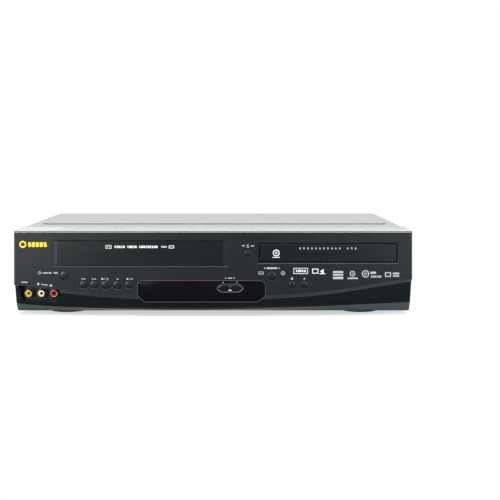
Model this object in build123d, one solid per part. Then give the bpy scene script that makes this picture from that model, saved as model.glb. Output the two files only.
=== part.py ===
from build123d import *
import math
import os

# Video and disc player: one case that holds a cassette deck on the left and a disc drawer on
# the right. Millimetres. +X is to the right, +Y to the rear, +Z up. The origin is the centre of
# the bottom of the whole player, on the surface that it stands on.

# ---- driving dimensions: the case ----
width = 435.0
height = 95.5
depth = 237.0
foot_height = 4.0
socket_reach = 8.5            # how far the aerial sockets stand out behind the rear panel
sheet = 0.8                   # steel sheet of the cover, base and rear panel
wall = 2.5                    # moulded wall of the front panel
strip_depth = 33.0            # how far the front panel reaches back over the top and sides
strip_fall = 1.2              # the top strip's fall towards the front
cover_inset = 0.8             # the cover is this much narrower than the front panel, each side
emboss_rise = 0.8
emboss_setback = 74.0         # front edge of the raised field in the cover
emboss_margin = 13.5
bend = 2.0                    # outer bend radius of the cover
edge_round = 1.6              # rounding of the front panel's top edge
gap = 0.3                     # seat gap between pieces that rest on each other
side_gap = 0.35               # clearance round doors, keys and buttons
running = 0.05                # radial clearance of a shaft in its bore

# ---- driving dimensions: the front ----
ledge_back = 4.5              # setback of the lower face at its top
belly_back = 10.5             # setback of the lower face at its bottom
bottom_back = 17.0            # setback of the bottom edge
# stations across the front: x, ledge top z, ledge bottom z, top of the bottom band z
front_stations = [
    (-217.5, 36.0, 33.2, 13.2),
    (-150.0, 29.0, 24.0, 8.6),
    (-83.0, 24.7, 18.9, 6.6),
    (0.0, 23.7, 17.8, 6.1),
    (70.0, 24.6, 19.6, 8.0),
    (140.0, 30.8, 26.2, 11.0),
    (217.5, 42.0, 38.0, 14.7),
]

slot_x = -79.85               # centre of the cassette opening
slot_width = 190.3
slot_low = 56.2
slot_high = 83.5
drawer_x = 125.7              # centre of the disc drawer opening
drawer_width = 152.2
drawer_low = 59.4
drawer_high = 80.6
lip = 1.0                     # chamfer round both openings
door_thick = 2.2
door_back = 0.3               # the door faces sit this far behind the front face
door_pivot_back = wall + 2.5
door_pivot_rise = 3.6         # pivot above the opening
pin_radius = 1.2

button_z = 35.4
small_cap = 7.9               # disc stop and play buttons
large_cap = 9.4               # standby and output buttons
tray_cap = 7.2
dish_margin = 1.4
dish_deep = 0.9
oval_lip = 0.5                # chamfer round the oval buttons
travel = 0.5                  # button travel
switch_gap = 0.1
stem_radius = 1.5
flange_thick = 1.0

window_left = -83.0
window_right = 57.4
window_low = 16.3
window_high = 40.3
window_cut_x = 8.0            # slanted lower corners of the window
window_cut_z = 6.6
window_round = 5.4
window_deep = 14.0
window_wall = 2.5
rocker_x = 18.5
rocker_z = 31.9
rocker_width = 28.8
rocker_height = 7.1

seam_z = 44.8                 # fine moulded line round the middle of the front
seam_left = -151.4
seam_right = 125.2
seam_wide = 0.7
seam_deep = 0.5

jack_pitch = 14.0
jack_x = -189.6               # middle one of the three front jacks
jack_z = 24.6
jack_radius = 4.0
jack_sleeve = 0.4             # thickness of a jack's plated sleeve
jack_bore = 1.7
jack_room = 1.0               # clear space round each sleeve in the recess floor
jack_front = 7.0              # setback of the jacks' front ends
jack_floor = 15.0             # depth of the jack recess

# ---- driving dimensions: the inside ----
deck_z = 26.0                 # top of the cassette deck plate
deck_sheet = 1.2
deck_back = 92.0
cassette_width = 187.0
cassette_high = 25.0
cassette_low = 57.0
holder_sheet = 1.2
holder_depth = 60.0
holder_front = -81.0          # behind the sweep of the open door
carriage_travel = 50.0
holder_drop = 20.0
reel_pitch = 92.0
reel_y = -20.0
drum_radius = 31.0
drum_y = 58.0
capstan_dx = 62.0
capstan_y = 36.0
capstan_radius = 1.5
guide_dx = 42.0
guide_y = 24.0
guide_travel = 40.0
roller_radius = 6.0
clutch_y = -14.0
bearing_radius = 5.0
tray_width = 130.0
tray_back = 53.0
tray_low = 62.0
tray_thick = 6.0
tray_travel = 135.0
disc_y = -30.0
disc_radius = 60.0
frame_width = 146.0
frame_back = 70.0
frame_low = 44.0
frame_high = 86.0
rack_gear_radius = 12.0
sled_travel = 34.0
rod_radius = 1.5
tuner_right = -160.0
tuner_front = 78.0
board = 1.6
board_z = 9.0

# ---- worked out from the above ----
front_y = -depth / 2
rear_y = depth / 2 - socket_reach
half = width / 2
base_z = foot_height
cover_top = height - emboss_rise
cover_half = half - cover_inset
strip_y = front_y + strip_depth
face_top = height - 0.2 - strip_fall
front_scale = width / 435.0
cover_front = strip_y + 0.4


def box(x0, x1, y0, y1, z0, z1):
    middle = Vector((x0 + x1) / 2, (y0 + y1) / 2, (z0 + z1) / 2)
    return Pos(middle) * Box(x1 - x0, y1 - y0, z1 - z0)


def post(x, y, z0, z1, radius):
    """A round bar along Z."""
    return Pos(x, y, (z0 + z1) / 2) * Cylinder(radius, z1 - z0)


def bar_y(x, z, y0, y1, radius):
    """A round bar along Y."""
    return Pos(x, (y0 + y1) / 2, z) * Rot(90, 0, 0) * Cylinder(radius, y1 - y0)


def bar_x(y, z, x0, x1, radius):
    """A round bar along X."""
    return Pos((x0 + x1) / 2, y, z) * Rot(0, 90, 0) * Cylinder(radius, x1 - x0)


def front_plane(setback):
    """A sketch plane that faces the user, setback behind the front face: x is X and y is Z."""
    return Plane(origin=(0, front_y + setback, 0), x_dir=(1, 0, 0), z_dir=(0, -1, 0))


def push_in(sketch, start, end, taper=0.0):
    """Extrudes a front sketch from one setback to a deeper one."""
    return extrude(front_plane(start) * sketch, amount=end - start, dir=(0, 1, 0), taper=taper)


def group(pieces):
    return Compound(children=list(pieces))


nodes = {}


# ---- front panel ----

def front_section(x, ledge, under, belly, inset, back):
    """The front panel's side outline at one station, moved inwards by inset."""
    rise = 0.35 * inset
    top = face_top + strip_fall - inset
    points = [
        (inset, face_top - inset - edge_round),
        (inset, ledge + rise),
        (ledge_back + inset, under + rise),
        (belly_back + inset, belly + 0.8 * inset),
        (bottom_back + inset, base_z + inset),
        (back, base_z + inset),
        (back, top),
        (inset + edge_round, face_top - inset),
    ]
    plane = Plane(origin=(x, front_y, 0), x_dir=(0, 1, 0), z_dir=(1, 0, 0))
    corner = Vector(inset + edge_round * 0.29, face_top - inset - edge_round * 0.29)
    sides = [Line(a, b) for a, b in zip(points[:-1], points[1:])]
    sides.append(ThreePointArc(points[-1], corner, points[0]))
    return plane * make_face(Curve() + sides)


def front_loft(inset, back):
    sections = []
    for x, ledge, under, belly in front_stations:
        place = x * front_scale
        if abs(x) == 217.5:
            place = math.copysign(half - inset, x)
        sections.append(front_section(place, ledge, under, belly, inset, back))
    return loft(sections)


def rounded_slot(x, low, high, wide):
    return Pos(x, (low + high) / 2) * RectangleRounded(wide, high - low, 0.8)


def opening_cut(x, low, high, wide):
    """An opening with a chamfer all round its front edge."""
    through = push_in(rounded_slot(x, low, high, wide), -1.0, wall + 1.0)
    mouth = push_in(rounded_slot(x, low - lip, high + lip, wide + 2 * lip), -0.01, lip, taper=44.0)
    return through + mouth


def dish_cut(x, z, cap):
    """A round dish with the hole for a button in its floor."""
    ring = push_in(Pos(x, z) * Circle(cap / 2 + dish_margin), -0.01, dish_deep, taper=30.0)
    hole = push_in(Pos(x, z) * Circle(cap / 2 + side_gap), -1.0, wall + 1.0)
    return ring + hole


def oval_mouth(x, z, wide, high):
    """The chamfer round the hole of an oval button."""
    outer = Ellipse(wide / 2 + side_gap + oval_lip, high / 2 + side_gap + oval_lip)
    inner = Ellipse(wide / 2 + side_gap, high / 2 + side_gap)
    return loft([front_plane(0.0) * Pos(x, z) * outer, front_plane(oval_lip) * Pos(x, z) * inner])


# name, x, z, wide, high, is in a dish
buttons = [
    ("standby_button", -163.1, 45.5, large_cap, large_cap, True),
    ("rewind_button", -141.6, button_z, 9.1, 8.3, False),
    ("forward_button", -130.4, button_z, 9.1, 8.3, False),
    ("vcr_stop_button", -117.9, button_z - 0.3, 10.2, 9.2, False),
    ("vcr_play_button", -104.6, button_z - 0.3, 10.2, 9.2, False),
    ("record_button", -92.0, button_z, 8.8, 8.0, False),
    ("tray_button", 38.0, 69.9, tray_cap, tray_cap, True),
    ("output_button", 64.0, 45.3, large_cap, large_cap, True),
    ("dvd_stop_button", 86.2, button_z, small_cap, small_cap, True),
    ("dvd_play_button", 99.6, button_z, small_cap, small_cap, True),
]
lenses = [(-175.0, 45.7), (52.0, 43.6), (75.8, 43.6)]
lens_wide = 6.4
lens_high = 2.2


def window_outline(grow):
    left = window_left - grow
    right = window_right + grow
    low = window_low - grow
    high = window_high + grow
    cut = window_low + window_cut_z
    outline = Polygon(
        (left, high), (right, high), (right, cut), (right - window_cut_x, low),
        (left + window_cut_x, low), (left, cut), align=None,
    )
    top_corners = outline.vertices().sort_by(Axis.Y)[-2:]
    return fillet(top_corners, window_round + grow)


def jack_outline(grow):
    """The five-sided mouth of the jack recess."""
    left = jack_x - 24.0 - grow
    right = jack_x + 21.0 + grow
    return Polygon(
        (left, 34.6 + grow), (right, 30.2 + grow), (right, 18.6), (right - 4.0 - 0.4 * grow, 14.4 - grow),
        (left + 4.0, 16.6 - grow), (left + 2.2 - 0.6 * grow, 21.5), align=None,
    )


def seam_cut():
    """The fine line: along the top, round the right corner and down both ends."""
    radius = 14.0
    small = 2.5
    low = 20.0
    line = FilletPolyline(
        (seam_left, low), (seam_left, seam_z), (seam_right, seam_z), (seam_right, low),
        radius=[small, radius],
    )
    return push_in(trace(line, seam_wide), -1.0, seam_deep)


def lens_slot(x, z, grow):
    return Pos(x, z) * SlotOverall(lens_wide + 2 * grow, lens_high + 2 * grow)


def front_panel():
    outer = front_loft(0.0, strip_depth)
    inner = front_loft(wall, strip_depth + 2.0)
    shell = outer - inner
    tub = push_in(jack_outline(1.6), 0.0, jack_floor + 1.8) & outer
    shell += tub
    shell -= push_in(jack_outline(0.0), -1.0, jack_floor)
    for i in (-1, 0, 1):
        shell -= bar_y(jack_x + i * jack_pitch, jack_z, front_y, front_y + 30, jack_radius + jack_room)
    # tongue that the cover's front edge lies on
    tongue_top = cover_top - sheet - gap
    shell += box(-cover_half + 8, cover_half - 8, strip_y - 4, strip_y + 5, tongue_top - 1.6, tongue_top)
    shell -= opening_cut(slot_x, slot_low, slot_high, slot_width)
    shell -= opening_cut(drawer_x, drawer_low, drawer_high, drawer_width)
    # ears that carry the door's pins
    ear_y = front_y + door_pivot_back
    ear_z = slot_high + door_pivot_rise
    for side in (-1, 1):
        inner_x = slot_x + side * (slot_width / 2 + 1.2)
        outer_x = inner_x + side * 2.0
        ear = box(min(inner_x, outer_x), max(inner_x, outer_x), front_y + 1.5, ear_y + 4, ear_z - 5, ear_z + 4)
        shell += ear - bar_x(ear_y, ear_z, inner_x - 4, inner_x + 4, pin_radius + running)
    shell -= push_in(window_outline(side_gap), -1.0, window_deep + 4)
    for name, x, z, wide, high, dish in buttons:
        if dish:
            shell -= dish_cut(x, z, wide)
        else:
            shell -= push_in(Pos(x, z) * Ellipse(wide / 2 + side_gap, high / 2 + side_gap), -1.0, wall + 1.0)
            shell -= oval_mouth(x, z, wide, high)
    for x, z in lenses:
        shell -= push_in(lens_slot(x, z, 0.1), -1.0, wall + 1.0)
    shell -= seam_cut()
    return shell


nodes["front_panel"] = front_panel()


# ---- cassette door ----

def cassette_door():
    """A flap with slanted ends and a shallow lens-shaped groove, on two short arms with pins."""
    low = slot_low + side_gap
    high = slot_high - side_gap
    wide = slot_width - 2 * side_gap
    flap = push_in(rounded_slot(slot_x, low, high, wide), door_back, door_back + door_thick)
    bevel = 4.0
    for side in (-1, 1):
        end = slot_x + side * wide / 2
        wedge = Polygon((end, front_y - 1), (end, front_y + 1.1), (end - side * bevel, front_y + door_back),
                        (end - side * bevel, front_y - 1), align=None)
        flap -= Pos(0, 0, low - 1) * extrude(wedge, amount=high - low + 2, dir=(0, 0, 1))
    mid = 69.6
    lens_half = 54.0
    lens = make_face(Curve() + [
        ThreePointArc((-lens_half, 0), (0, 1.4), (lens_half, 0)),
        ThreePointArc((lens_half, 0), (0, -1.4), (-lens_half, 0)),
    ])
    flap -= push_in(Pos(slot_x - 19.5, mid) * lens, 0.0, door_back + 0.6)
    pivot_y = front_y + door_pivot_back
    pivot_z = slot_high + door_pivot_rise
    hub = 2.1
    for side in (-1, 1):
        outside = slot_x + side * (wide / 2)
        inside = outside - side * 1.2
        x0, x1 = sorted((outside, inside))
        y0 = front_y + door_back + door_thick - 0.4
        arm = box(x0, x1, y0, y0 + 2.4, low + 14, high - 0.4)
        arm += box(x0, x1, front_y + 3.0, pivot_y + 1.9, low + 18, pivot_z)
        arm += bar_x(pivot_y, pivot_z, x0, x1, hub)
        pin_end = outside + side * 4.5
        arm += bar_x(pivot_y, pivot_z, min(inside, pin_end), max(inside, pin_end), pin_radius)
        flap += arm
    return flap


nodes["cassette_door"] = cassette_door()


def door_spring():
    """Torsion spring on the left pin, with its leg held against the panel."""
    pivot_y = front_y + door_pivot_back
    pivot_z = slot_high + door_pivot_rise
    x1 = slot_x - slot_width / 2 - 1.2 - 2.0 - 0.1
    x0 = x1 - 3.0
    coil = bar_x(pivot_y, pivot_z, x0, x1, pin_radius + 1.1)
    coil -= bar_x(pivot_y, pivot_z, x0 - 1, x1 + 1, pin_radius + 0.2)
    leg = box(x0, x0 + 0.8, front_y + wall + 0.1, pivot_y - pin_radius - 0.2, pivot_z - 2.4, pivot_z - 1.6)
    return coil + leg


nodes["door_spring"] = door_spring()


# ---- buttons, keys and what lies behind them ----
board_front = front_y + 15.5


def stem(x, z, start, radius):
    return bar_y(x, z, front_y + start, board_front - 2.5 - travel - switch_gap, radius)


def push_button(x, z, wide, high, dish):
    face = 0.0
    flange_at = wall + gap
    cap = push_in(Pos(x, z) * Ellipse(wide / 2, high / 2), face, flange_at + 0.01)
    rim = cap.edges().group_by(Axis.Y)[0]
    cap = chamfer(rim, 0.6) if not dish else fillet(rim, 0.7)
    cap += push_in(Pos(x, z) * Ellipse(wide / 2 + 0.8, high / 2 + 0.8), flange_at, flange_at + flange_thick)
    return cap + stem(x, z, flange_at, stem_radius)


for name, x, z, wide, high, dish in buttons:
    nodes[name] = push_button(x, z, wide, high, dish)


def channel_key(side):
    """One half of the lozenge-shaped pair of keys."""
    whole = Polygon(
        (-rocker_width / 2, 0), (-rocker_width / 2 + 5, rocker_height / 2), (rocker_width / 2 - 5, rocker_height / 2),
        (rocker_width / 2, 0), (rocker_width / 2 - 5, -rocker_height / 2), (-rocker_width / 2 + 5, -rocker_height / 2),
        align=None,
    )
    whole = fillet(whole.vertices(), 1.6)
    key_half = Pos(side * (rocker_width / 4 + 0.3), 0) * Rectangle(rocker_width / 2, rocker_height + 2)
    outline = Pos(rocker_x, rocker_z) * (whole & key_half)
    flange_at = window_wall + gap
    key = push_in(outline, 0.1, flange_at + 0.01)
    rim = key.edges().group_by(Axis.Y)[0]
    key = chamfer(rim, 0.5)
    middle = rocker_x + side * rocker_width / 4
    key += box(middle - 6.2, middle + 6.2, front_y + flange_at, front_y + flange_at + flange_thick,
               rocker_z - rocker_height / 2 - 0.8, rocker_z + rocker_height / 2 + 0.8)
    return key + stem(middle, rocker_z, flange_at, stem_radius)


nodes["channel_down_key"] = channel_key(-1)
nodes["channel_up_key"] = channel_key(1)


def rocker_hole():
    whole = Polygon(
        (-rocker_width / 2 - 0.5, 0), (-rocker_width / 2 + 4.8, rocker_height / 2 + side_gap),
        (rocker_width / 2 - 4.8, rocker_height / 2 + side_gap), (rocker_width / 2 + 0.5, 0),
        (rocker_width / 2 - 4.8, -rocker_height / 2 - side_gap),
        (-rocker_width / 2 + 4.8, -rocker_height / 2 - side_gap), align=None,
    )
    return Pos(rocker_x, rocker_z) * fillet(whole.vertices(), 1.7)


def display_window():
    """Smoked lens with a skirt that fills the opening down past the slanted lower face."""
    block = push_in(window_outline(0.0), 0.0, window_deep)
    block = chamfer(block.faces().sort_by(Axis.Y)[0].edges(), 0.5)
    block -= push_in(window_outline(-window_wall), window_wall, window_deep + 1)
    return block - push_in(rocker_hole(), -1.0, window_wall + 1)


nodes["display_window"] = display_window()


def display_tube():
    """Glass display tube on its pins in front of the board."""
    glass = box(-66.0, -1.0, front_y + 5.0, front_y + 11.0, 21.0, 36.0)
    glass = fillet(glass.edges().filter_by(Axis.Y), 1.0)
    glass += bar_x(front_y + 8.0, 33.0, -2.0, 1.5, 1.2)
    for i in range(14):
        x = -62.0 + i * 4.4
        glass += box(x, x + 0.6, front_y + 10.5, board_front, 20.0, 21.4)
    return glass


nodes["display_tube"] = display_tube()
nodes["indicator_lenses"] = group(
    [push_in(lens_slot(x, z, 0.0), 0.0, 6.0) for x, z in lenses]
)


def front_board():
    """Key board: switches behind the buttons, infrared receiver, connector and jack bodies."""
    y1 = board_front + board
    plate = box(-179.0, 108.0, board_front, y1, 38.0, 51.5)
    plate += box(-166.0, 108.0, board_front, y1, 21.0, 38.5)
    plate += box(29.0, 47.0, board_front, y1, 51.0, 75.0)
    plate += box(-213.0, -160.0, front_y + 17.2, front_y + 17.2 + board, 14.0, 37.0)
    places = [(x, z) for name, x, z, wide, high, dish in buttons]
    places += [(rocker_x + side * rocker_width / 4, rocker_z) for side in (-1, 1)]
    for x, z in places:
        plate += box(x - 3, x + 3, board_front - 1.7, board_front, z - 3, z + 3)
        plate += bar_y(x, z, board_front - 2.5, board_front, 1.5)
    for x, z in lenses:
        plate += bar_y(x, z, front_y + 6.6, board_front, 1.4)
    plate += box(-42.0, -10.0, y1, y1 + 6.0, 40.0, 47.0)
    plate += box(42.0, 50.0, front_y + 8.0, board_front, 26.0, 34.0)
    return plate


nodes["front_board"] = front_board()


def jack_barrels():
    """Plated sleeves of the three jacks, standing out of the recess floor."""
    sleeves = []
    for i in (-1, 0, 1):
        x = jack_x + i * jack_pitch
        sleeve = bar_y(x, jack_z, front_y + jack_front, front_y + 17.1, jack_radius)
        sleeves.append(sleeve - bar_y(x, jack_z, front_y, front_y + 18.0, jack_radius - jack_sleeve))
    return group(sleeves)


def jack_insert(index):
    """Coloured moulding inside a sleeve: a funnel down to the hole for the plug's pin."""
    x = jack_x + index * jack_pitch
    radius = jack_radius - jack_sleeve
    start = jack_front + 0.3
    insert = push_in(Pos(x, jack_z) * Circle(radius), start, 17.1)
    funnel = push_in(Pos(x, jack_z) * Circle(radius - 0.25), start - 0.01, start + 1.6, taper=32.0)
    return insert - funnel - bar_y(x, jack_z, front_y, front_y + 15.5, jack_bore)


nodes["jack_barrels"] = jack_barrels()
nodes["jack_inserts"] = group([jack_insert(i) for i in (-1, 0, 1)])


# ---- case ----

def top_cover():
    """Folded steel cover: top with a raised field, two sides, and flanges over the rear panel."""
    low = base_z + 1.2
    rear = rear_y + sheet
    outer = box(-cover_half, cover_half, cover_front, rear, low, cover_top)
    outer = fillet(outer.edges().filter_by(Axis.Y).group_by(Axis.Z)[-1], bend)
    inner = box(-cover_half + sheet, cover_half - sheet, cover_front - 1, rear_y, low - 1, cover_top - sheet)
    inner = fillet(inner.edges().filter_by(Axis.Y).group_by(Axis.Z)[-1], bend - sheet)
    flange = 12.0
    rear_hole = box(-cover_half + flange, cover_half - flange, rear_y - 1, rear + 1, low - 1, cover_top - flange)
    cover = outer - inner - rear_hole
    x1 = half - emboss_margin
    y0 = front_y + emboss_setback
    y1 = rear_y - 10
    field = Pos(0, (y0 + y1) / 2, cover_top - 0.01) * RectangleRounded(2 * x1, y1 - y0, 6.0)
    cover += extrude(field, amount=emboss_rise + 0.01, taper=40)
    under = Pos(0, (y0 + y1) / 2, cover_top - sheet - 0.01) * RectangleRounded(2 * x1 - 2, y1 - y0 - 2, 5.0)
    cover -= extrude(under, amount=emboss_rise + 0.01, taper=40)
    for x, z in rear_screws:
        cover -= bar_y(x, z, rear_y - 1, rear + 1, 1.6)
    return cover


screw_radius = 1.5
screw_top = cover_top - 6.7
rear_screws = [(-150.0, screw_top), (0.0, screw_top), (150.0, screw_top), (-cover_half + 6, 30.0), (cover_half - 6, 30.0)]
nodes["top_cover"] = top_cover()


def base_chassis():
    """Steel tray: floor with ribs and vents, low sides, front step, and posts for what stands in it."""
    side = cover_half - sheet - gap
    y0 = strip_y + gap
    y1 = rear_y - sheet
    top = base_z + sheet
    tray = box(-side, side, y0, y1, base_z, top)
    for x0 in (-side, side - sheet):
        tray += box(x0, x0 + sheet, y0 + 6, y1, base_z, base_z + 20)
    step = base_z + wall + gap
    tray += box(-side + 6, side - 6, y0, y0 + sheet, base_z, step + sheet)
    tray += box(-side + 6, side - 6, y0 - 10, y0 + sheet, step, step + sheet)
    for row in range(2):
        for i in range(13):
            x = 70.0 + i * 9.0
            y = -20.0 + row * 72.0
            tray -= Pos(x, y, top) * Box(3.0, 34.0, 4.0)
    for i in range(9):
        tray -= Pos(-150.0 + i * 16.0, 97.0, top) * Box(10.0, 3.0, 4.0)
    for x, y in deck_posts:
        tray += post(x, y, base_z, deck_z - deck_sheet, 4.5)
    for x, y in frame_posts:
        tray += post(x, y, base_z, frame_low, 4.0)
    for x, y in board_posts:
        tray += post(x, y, base_z, board_z, 3.5)
    return tray


deck_posts = [(slot_x + sx * 90.0, y) for sx in (-1, 1) for y in (-80.0, 56.0)]
frame_posts = [(drawer_x + sx * 67.0, y) for sx in (-1, 1) for y in (-78.0, 62.0)]
board_posts = [(40.0, -70.0), (200.0, -66.0), (40.0, 10.0), (200.0, 8.0), (110.0, 30.0), (203.0, 30.0),
               (110.0, 100.0), (203.0, 100.0), (-145.0, 76.0), (60.0, 76.0), (-145.0, 102.0), (60.0, 102.0)]
nodes["base_chassis"] = base_chassis()

aerial_radius = 5.0
scart_places = [(-92.0, 40.0), (-92.0, 66.0)]
aerial_places = [(-184.0, 62.0), (-184.0, 34.0)]
phono_places = [(x, z) for x in (-34.0, -20.0, -6.0) for z in (26.0, 44.0)]
inlet_x = 182.0
inlet_z = 26.0


def rear_panel():
    side = cover_half - sheet - gap
    panel = box(-side, side, rear_y - sheet, rear_y, base_z + sheet, cover_top - sheet - gap)
    for x, z in rear_screws:
        panel -= bar_y(x, z, rear_y - 2, rear_y + 1, 1.4)
    for x, z in scart_places:
        panel -= box(x - 24.2, x + 24.2, rear_y - 2, rear_y + 1, z - 7.4, z + 7.4)
    for x, z in aerial_places:
        panel -= bar_y(x, z, rear_y - 2, rear_y + 1, aerial_radius + 1.2)
    for x, z in phono_places:
        panel -= bar_y(x, z, rear_y - 2, rear_y + 1, 5.0)
    panel -= box(inlet_x - 10.4, inlet_x + 10.4, rear_y - 2, rear_y + 1, inlet_z - 6.4, inlet_z + 6.4)
    for row in range(2):
        for i in range(16):
            x = 40.0 + i * 7.5
            panel -= box(x, x + 3, rear_y - 2, rear_y + 1, 50.0 + row * 16, 62.0 + row * 16)
    return panel


nodes["rear_panel"] = rear_panel()


def foot(x, y, radius):
    """Moulded foot: wide rounded pad that stands under the base."""
    pad = post(x, y, 0, base_z, radius)
    pad = fillet(pad.edges().group_by(Axis.Z)[0], 1.0)
    return pad - post(x, y, -1, 1.2, radius - 5)


nodes["feet"] = group(
    [foot(sx * 166.0, front_y + 52.0, 25.0) for sx in (-1, 1)]
    + [foot(sx * 170.0, rear_y - 30.0, 12.0) for sx in (-1, 1)]
)


def case_screw(x, z):
    head = bar_y(x, z, rear_y + sheet, rear_y + sheet + 2.0, 3.2)
    head = fillet(head.edges().group_by(Axis.Y)[-1], 1.0)
    head -= Pos(x, rear_y + sheet + 2.0, z) * Box(4.0, 1.8, 0.8)
    head -= Pos(x, rear_y + sheet + 2.0, z) * Box(0.8, 1.8, 4.0)
    return head + bar_y(x, z, rear_y - 5.0, rear_y + sheet + 0.1, 1.3)


nodes["case_screws"] = group([case_screw(x, z) for x, z in rear_screws])


# ---- cassette deck ----
deck_under = deck_z - deck_sheet
reel_places = [slot_x - reel_pitch / 2, slot_x + reel_pitch / 2]
capstan_x = slot_x + capstan_dx


def deck_chassis():
    """Steel deck plate with reel pins, guide slots and the holes for drum and capstan."""
    x0 = slot_x - 101.5
    x1 = slot_x + 101.5
    plate = box(x0, x1, -94.0, deck_back, deck_under, deck_z)
    plate = fillet(plate.edges().filter_by(Axis.Z), 4.0)
    plate -= box(x0 - 1, tuner_right + 2, tuner_front - 2, deck_back + 1, deck_under - 1, deck_z + 1)
    plate += box(tuner_right + 6, x1 - 10, deck_back - deck_sheet, deck_back, deck_under - 8, deck_z)
    for x in reel_places:
        plate += post(x, reel_y, deck_under, deck_z + 14, 2.0)
        plate += post(x, reel_y, deck_z - 0.1, deck_z + 2.7, 4.0)
    plate -= post(capstan_x, capstan_y, deck_under - 1, deck_z + 1, bearing_radius + gap)
    plate -= post(slot_x, clutch_y, deck_under - 1, deck_z + 1, bearing_radius + gap)
    for side in (-1, 1):
        x = slot_x + side * guide_dx
        plate -= box(x - 2.3, x + 2.3, guide_y - 3, guide_y + guide_travel + 3, deck_under - 1, deck_z + 1)
    plate += post(arm_x, arm_y, deck_under, deck_z + 13, 2.0)
    for x in (slot_x - 30, slot_x + 30):
        plate -= box(x - 9, x + 9, -78, -50, deck_under - 1, deck_z + 1)
    return plate


arm_x = slot_x + capstan_dx + 24.0
arm_y = capstan_y + 16.0
arm_swing = 25.0
reach_x = capstan_radius + roller_radius + 0.2
engaged = (capstan_x + reach_x * 0.5, capstan_y + reach_x * 0.866)
arm_length = math.hypot(engaged[0] - arm_x, engaged[1] - arm_y)
rest_angle = math.atan2(engaged[1] - arm_y, engaged[0] - arm_x) - math.radians(arm_swing)
roller_x = arm_x + arm_length * math.cos(rest_angle)
roller_y = arm_y + arm_length * math.sin(rest_angle)
nodes["deck_chassis"] = deck_chassis()

holder_half = cassette_width / 2 + 0.5 + holder_sheet
slide_in = holder_half + gap
slide_out = slide_in + 2.5
bracket_in = slide_out + gap
bracket_out = bracket_in + deck_sheet


def carriage_bracket():
    """Two side plates on the deck, tied over the top, that guide the cassette carriage."""
    plates = None
    for side in (-1, 1):
        x0, x1 = sorted((slot_x + side * bracket_in, slot_x + side * bracket_out))
        side_plate = box(x0, x1, -90.0, 20.0, deck_z, 88.0)
        side_plate -= box(x0 - 1, x1 + 1, -60.0, -10.0, 50.0, 72.0)
        plates = side_plate if plates is None else plates + side_plate
    for y in (-86.0, 6.0):
        plates += box(slot_x - bracket_out, slot_x + bracket_out, y, y + 12.0, 86.8, 88.0)
    return plates


nodes["carriage_bracket"] = carriage_bracket()


def carriage_slides():
    """The two runners that carry the holder to the rear inside the bracket."""
    runners = []
    for side in (-1, 1):
        x0, x1 = sorted((slot_x + side * slide_in, slot_x + side * slide_out))
        front = holder_front + 1
        runner = box(x0, x1, front, front + 48, 36.0, 84.0)
        runner -= box(x0 - 1, x1 + 1, front + 7, front + 20, 40.0, 72.0)
        runner -= box(x0 - 1, x1 + 1, front + 27, front + 40, 40.0, 72.0)
        runners.append(runner)
    return group(runners)


nodes["carriage_slides"] = carriage_slides()


def cassette_holder():
    """Folded sheet cage for the cassette: roof, sides, bottom ledges and rear stops."""
    floor = cassette_low - gap
    roof = cassette_low + cassette_high + gap
    y0 = holder_front
    y1 = holder_front + holder_depth
    x0 = slot_x - holder_half
    x1 = slot_x + holder_half
    cage = box(x0, x1, y0, y1, floor - holder_sheet, roof + holder_sheet)
    cage -= box(x0 + holder_sheet, x1 - holder_sheet, y0 - 1, y1 + 1, floor, roof)
    cage -= box(x0 + 15, x1 - 15, y0 - 1, y1 + 1, floor - holder_sheet - 1, floor + 1)
    cage -= box(x0 + 40, x1 - 40, y0 + 14, y1 - 14, roof - 1, roof + holder_sheet + 1)
    for side in (-1, 1):
        inner = slot_x + side * (holder_half - 12)
        outer = slot_x + side * (holder_half - 0.2)
        a, b = sorted((inner, outer))
        cage += box(a, b, y1 - holder_sheet, y1, floor - 0.5, floor + 14)
    return cage


nodes["cassette_holder"] = cassette_holder()


def lower_drum():
    base = post(slot_x, drum_y, deck_z, deck_z + 4, drum_radius + 2)
    body = base + post(slot_x, drum_y, deck_z, deck_z + 18, drum_radius)
    body -= post(slot_x, drum_y, deck_z + 12, deck_z + 20, drum_radius - 4)
    body -= post(slot_x, drum_y, deck_z + 1, deck_z + 20, 4 + running)
    return body


nodes["lower_drum"] = lower_drum()


def upper_drum():
    """Rotating head drum with its shaft and two head windows."""
    low = deck_z + 18.4
    body = post(slot_x, drum_y, low, low + 17, drum_radius)
    body = chamfer(body.edges().group_by(Axis.Z)[-1], 1.0)
    body -= post(slot_x, drum_y, low + 13, low + 20, drum_radius - 6)
    body += post(slot_x, drum_y, deck_z + 3, low + 19, 4.0)
    for side in (-1, 1):
        body -= box(slot_x - 1.5, slot_x + 1.5, drum_y + side * (drum_radius - 1.5) - 1.5,
                    drum_y + side * (drum_radius - 1.5) + 1.5, low - 1, low + 2.5)
    return body


nodes["upper_drum"] = upper_drum()


def capstan_housing():
    body = post(capstan_x, capstan_y, deck_under - 2.8, deck_z, bearing_radius)
    body += post(capstan_x, capstan_y, deck_z, deck_z + 4, 3.2)
    body += post(capstan_x, capstan_y, deck_under - 1.6, deck_under, 8.5)
    return body - post(capstan_x, capstan_y, deck_under - 5, deck_z + 10, capstan_radius + running)


pulley_low = 9.5
pulley_high = 12.5
capstan_pulley = 8.0
clutch_pulley_radius = 16.0


def capstan_rotor():
    """Flywheel, belt pulley and capstan shaft in one."""
    body = post(capstan_x, capstan_y, 14.0, 20.0, 22.0)
    body -= post(capstan_x, capstan_y, 18.0, 21.0, 17.0)
    body += post(capstan_x, capstan_y, pulley_low, 15.0, capstan_pulley)
    body += post(capstan_x, capstan_y, pulley_low, deck_z + 26, capstan_radius)
    return body + post(capstan_x, capstan_y, 14.0, 21.7, 6.0)


nodes["capstan_rotor"] = capstan_rotor()


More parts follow.
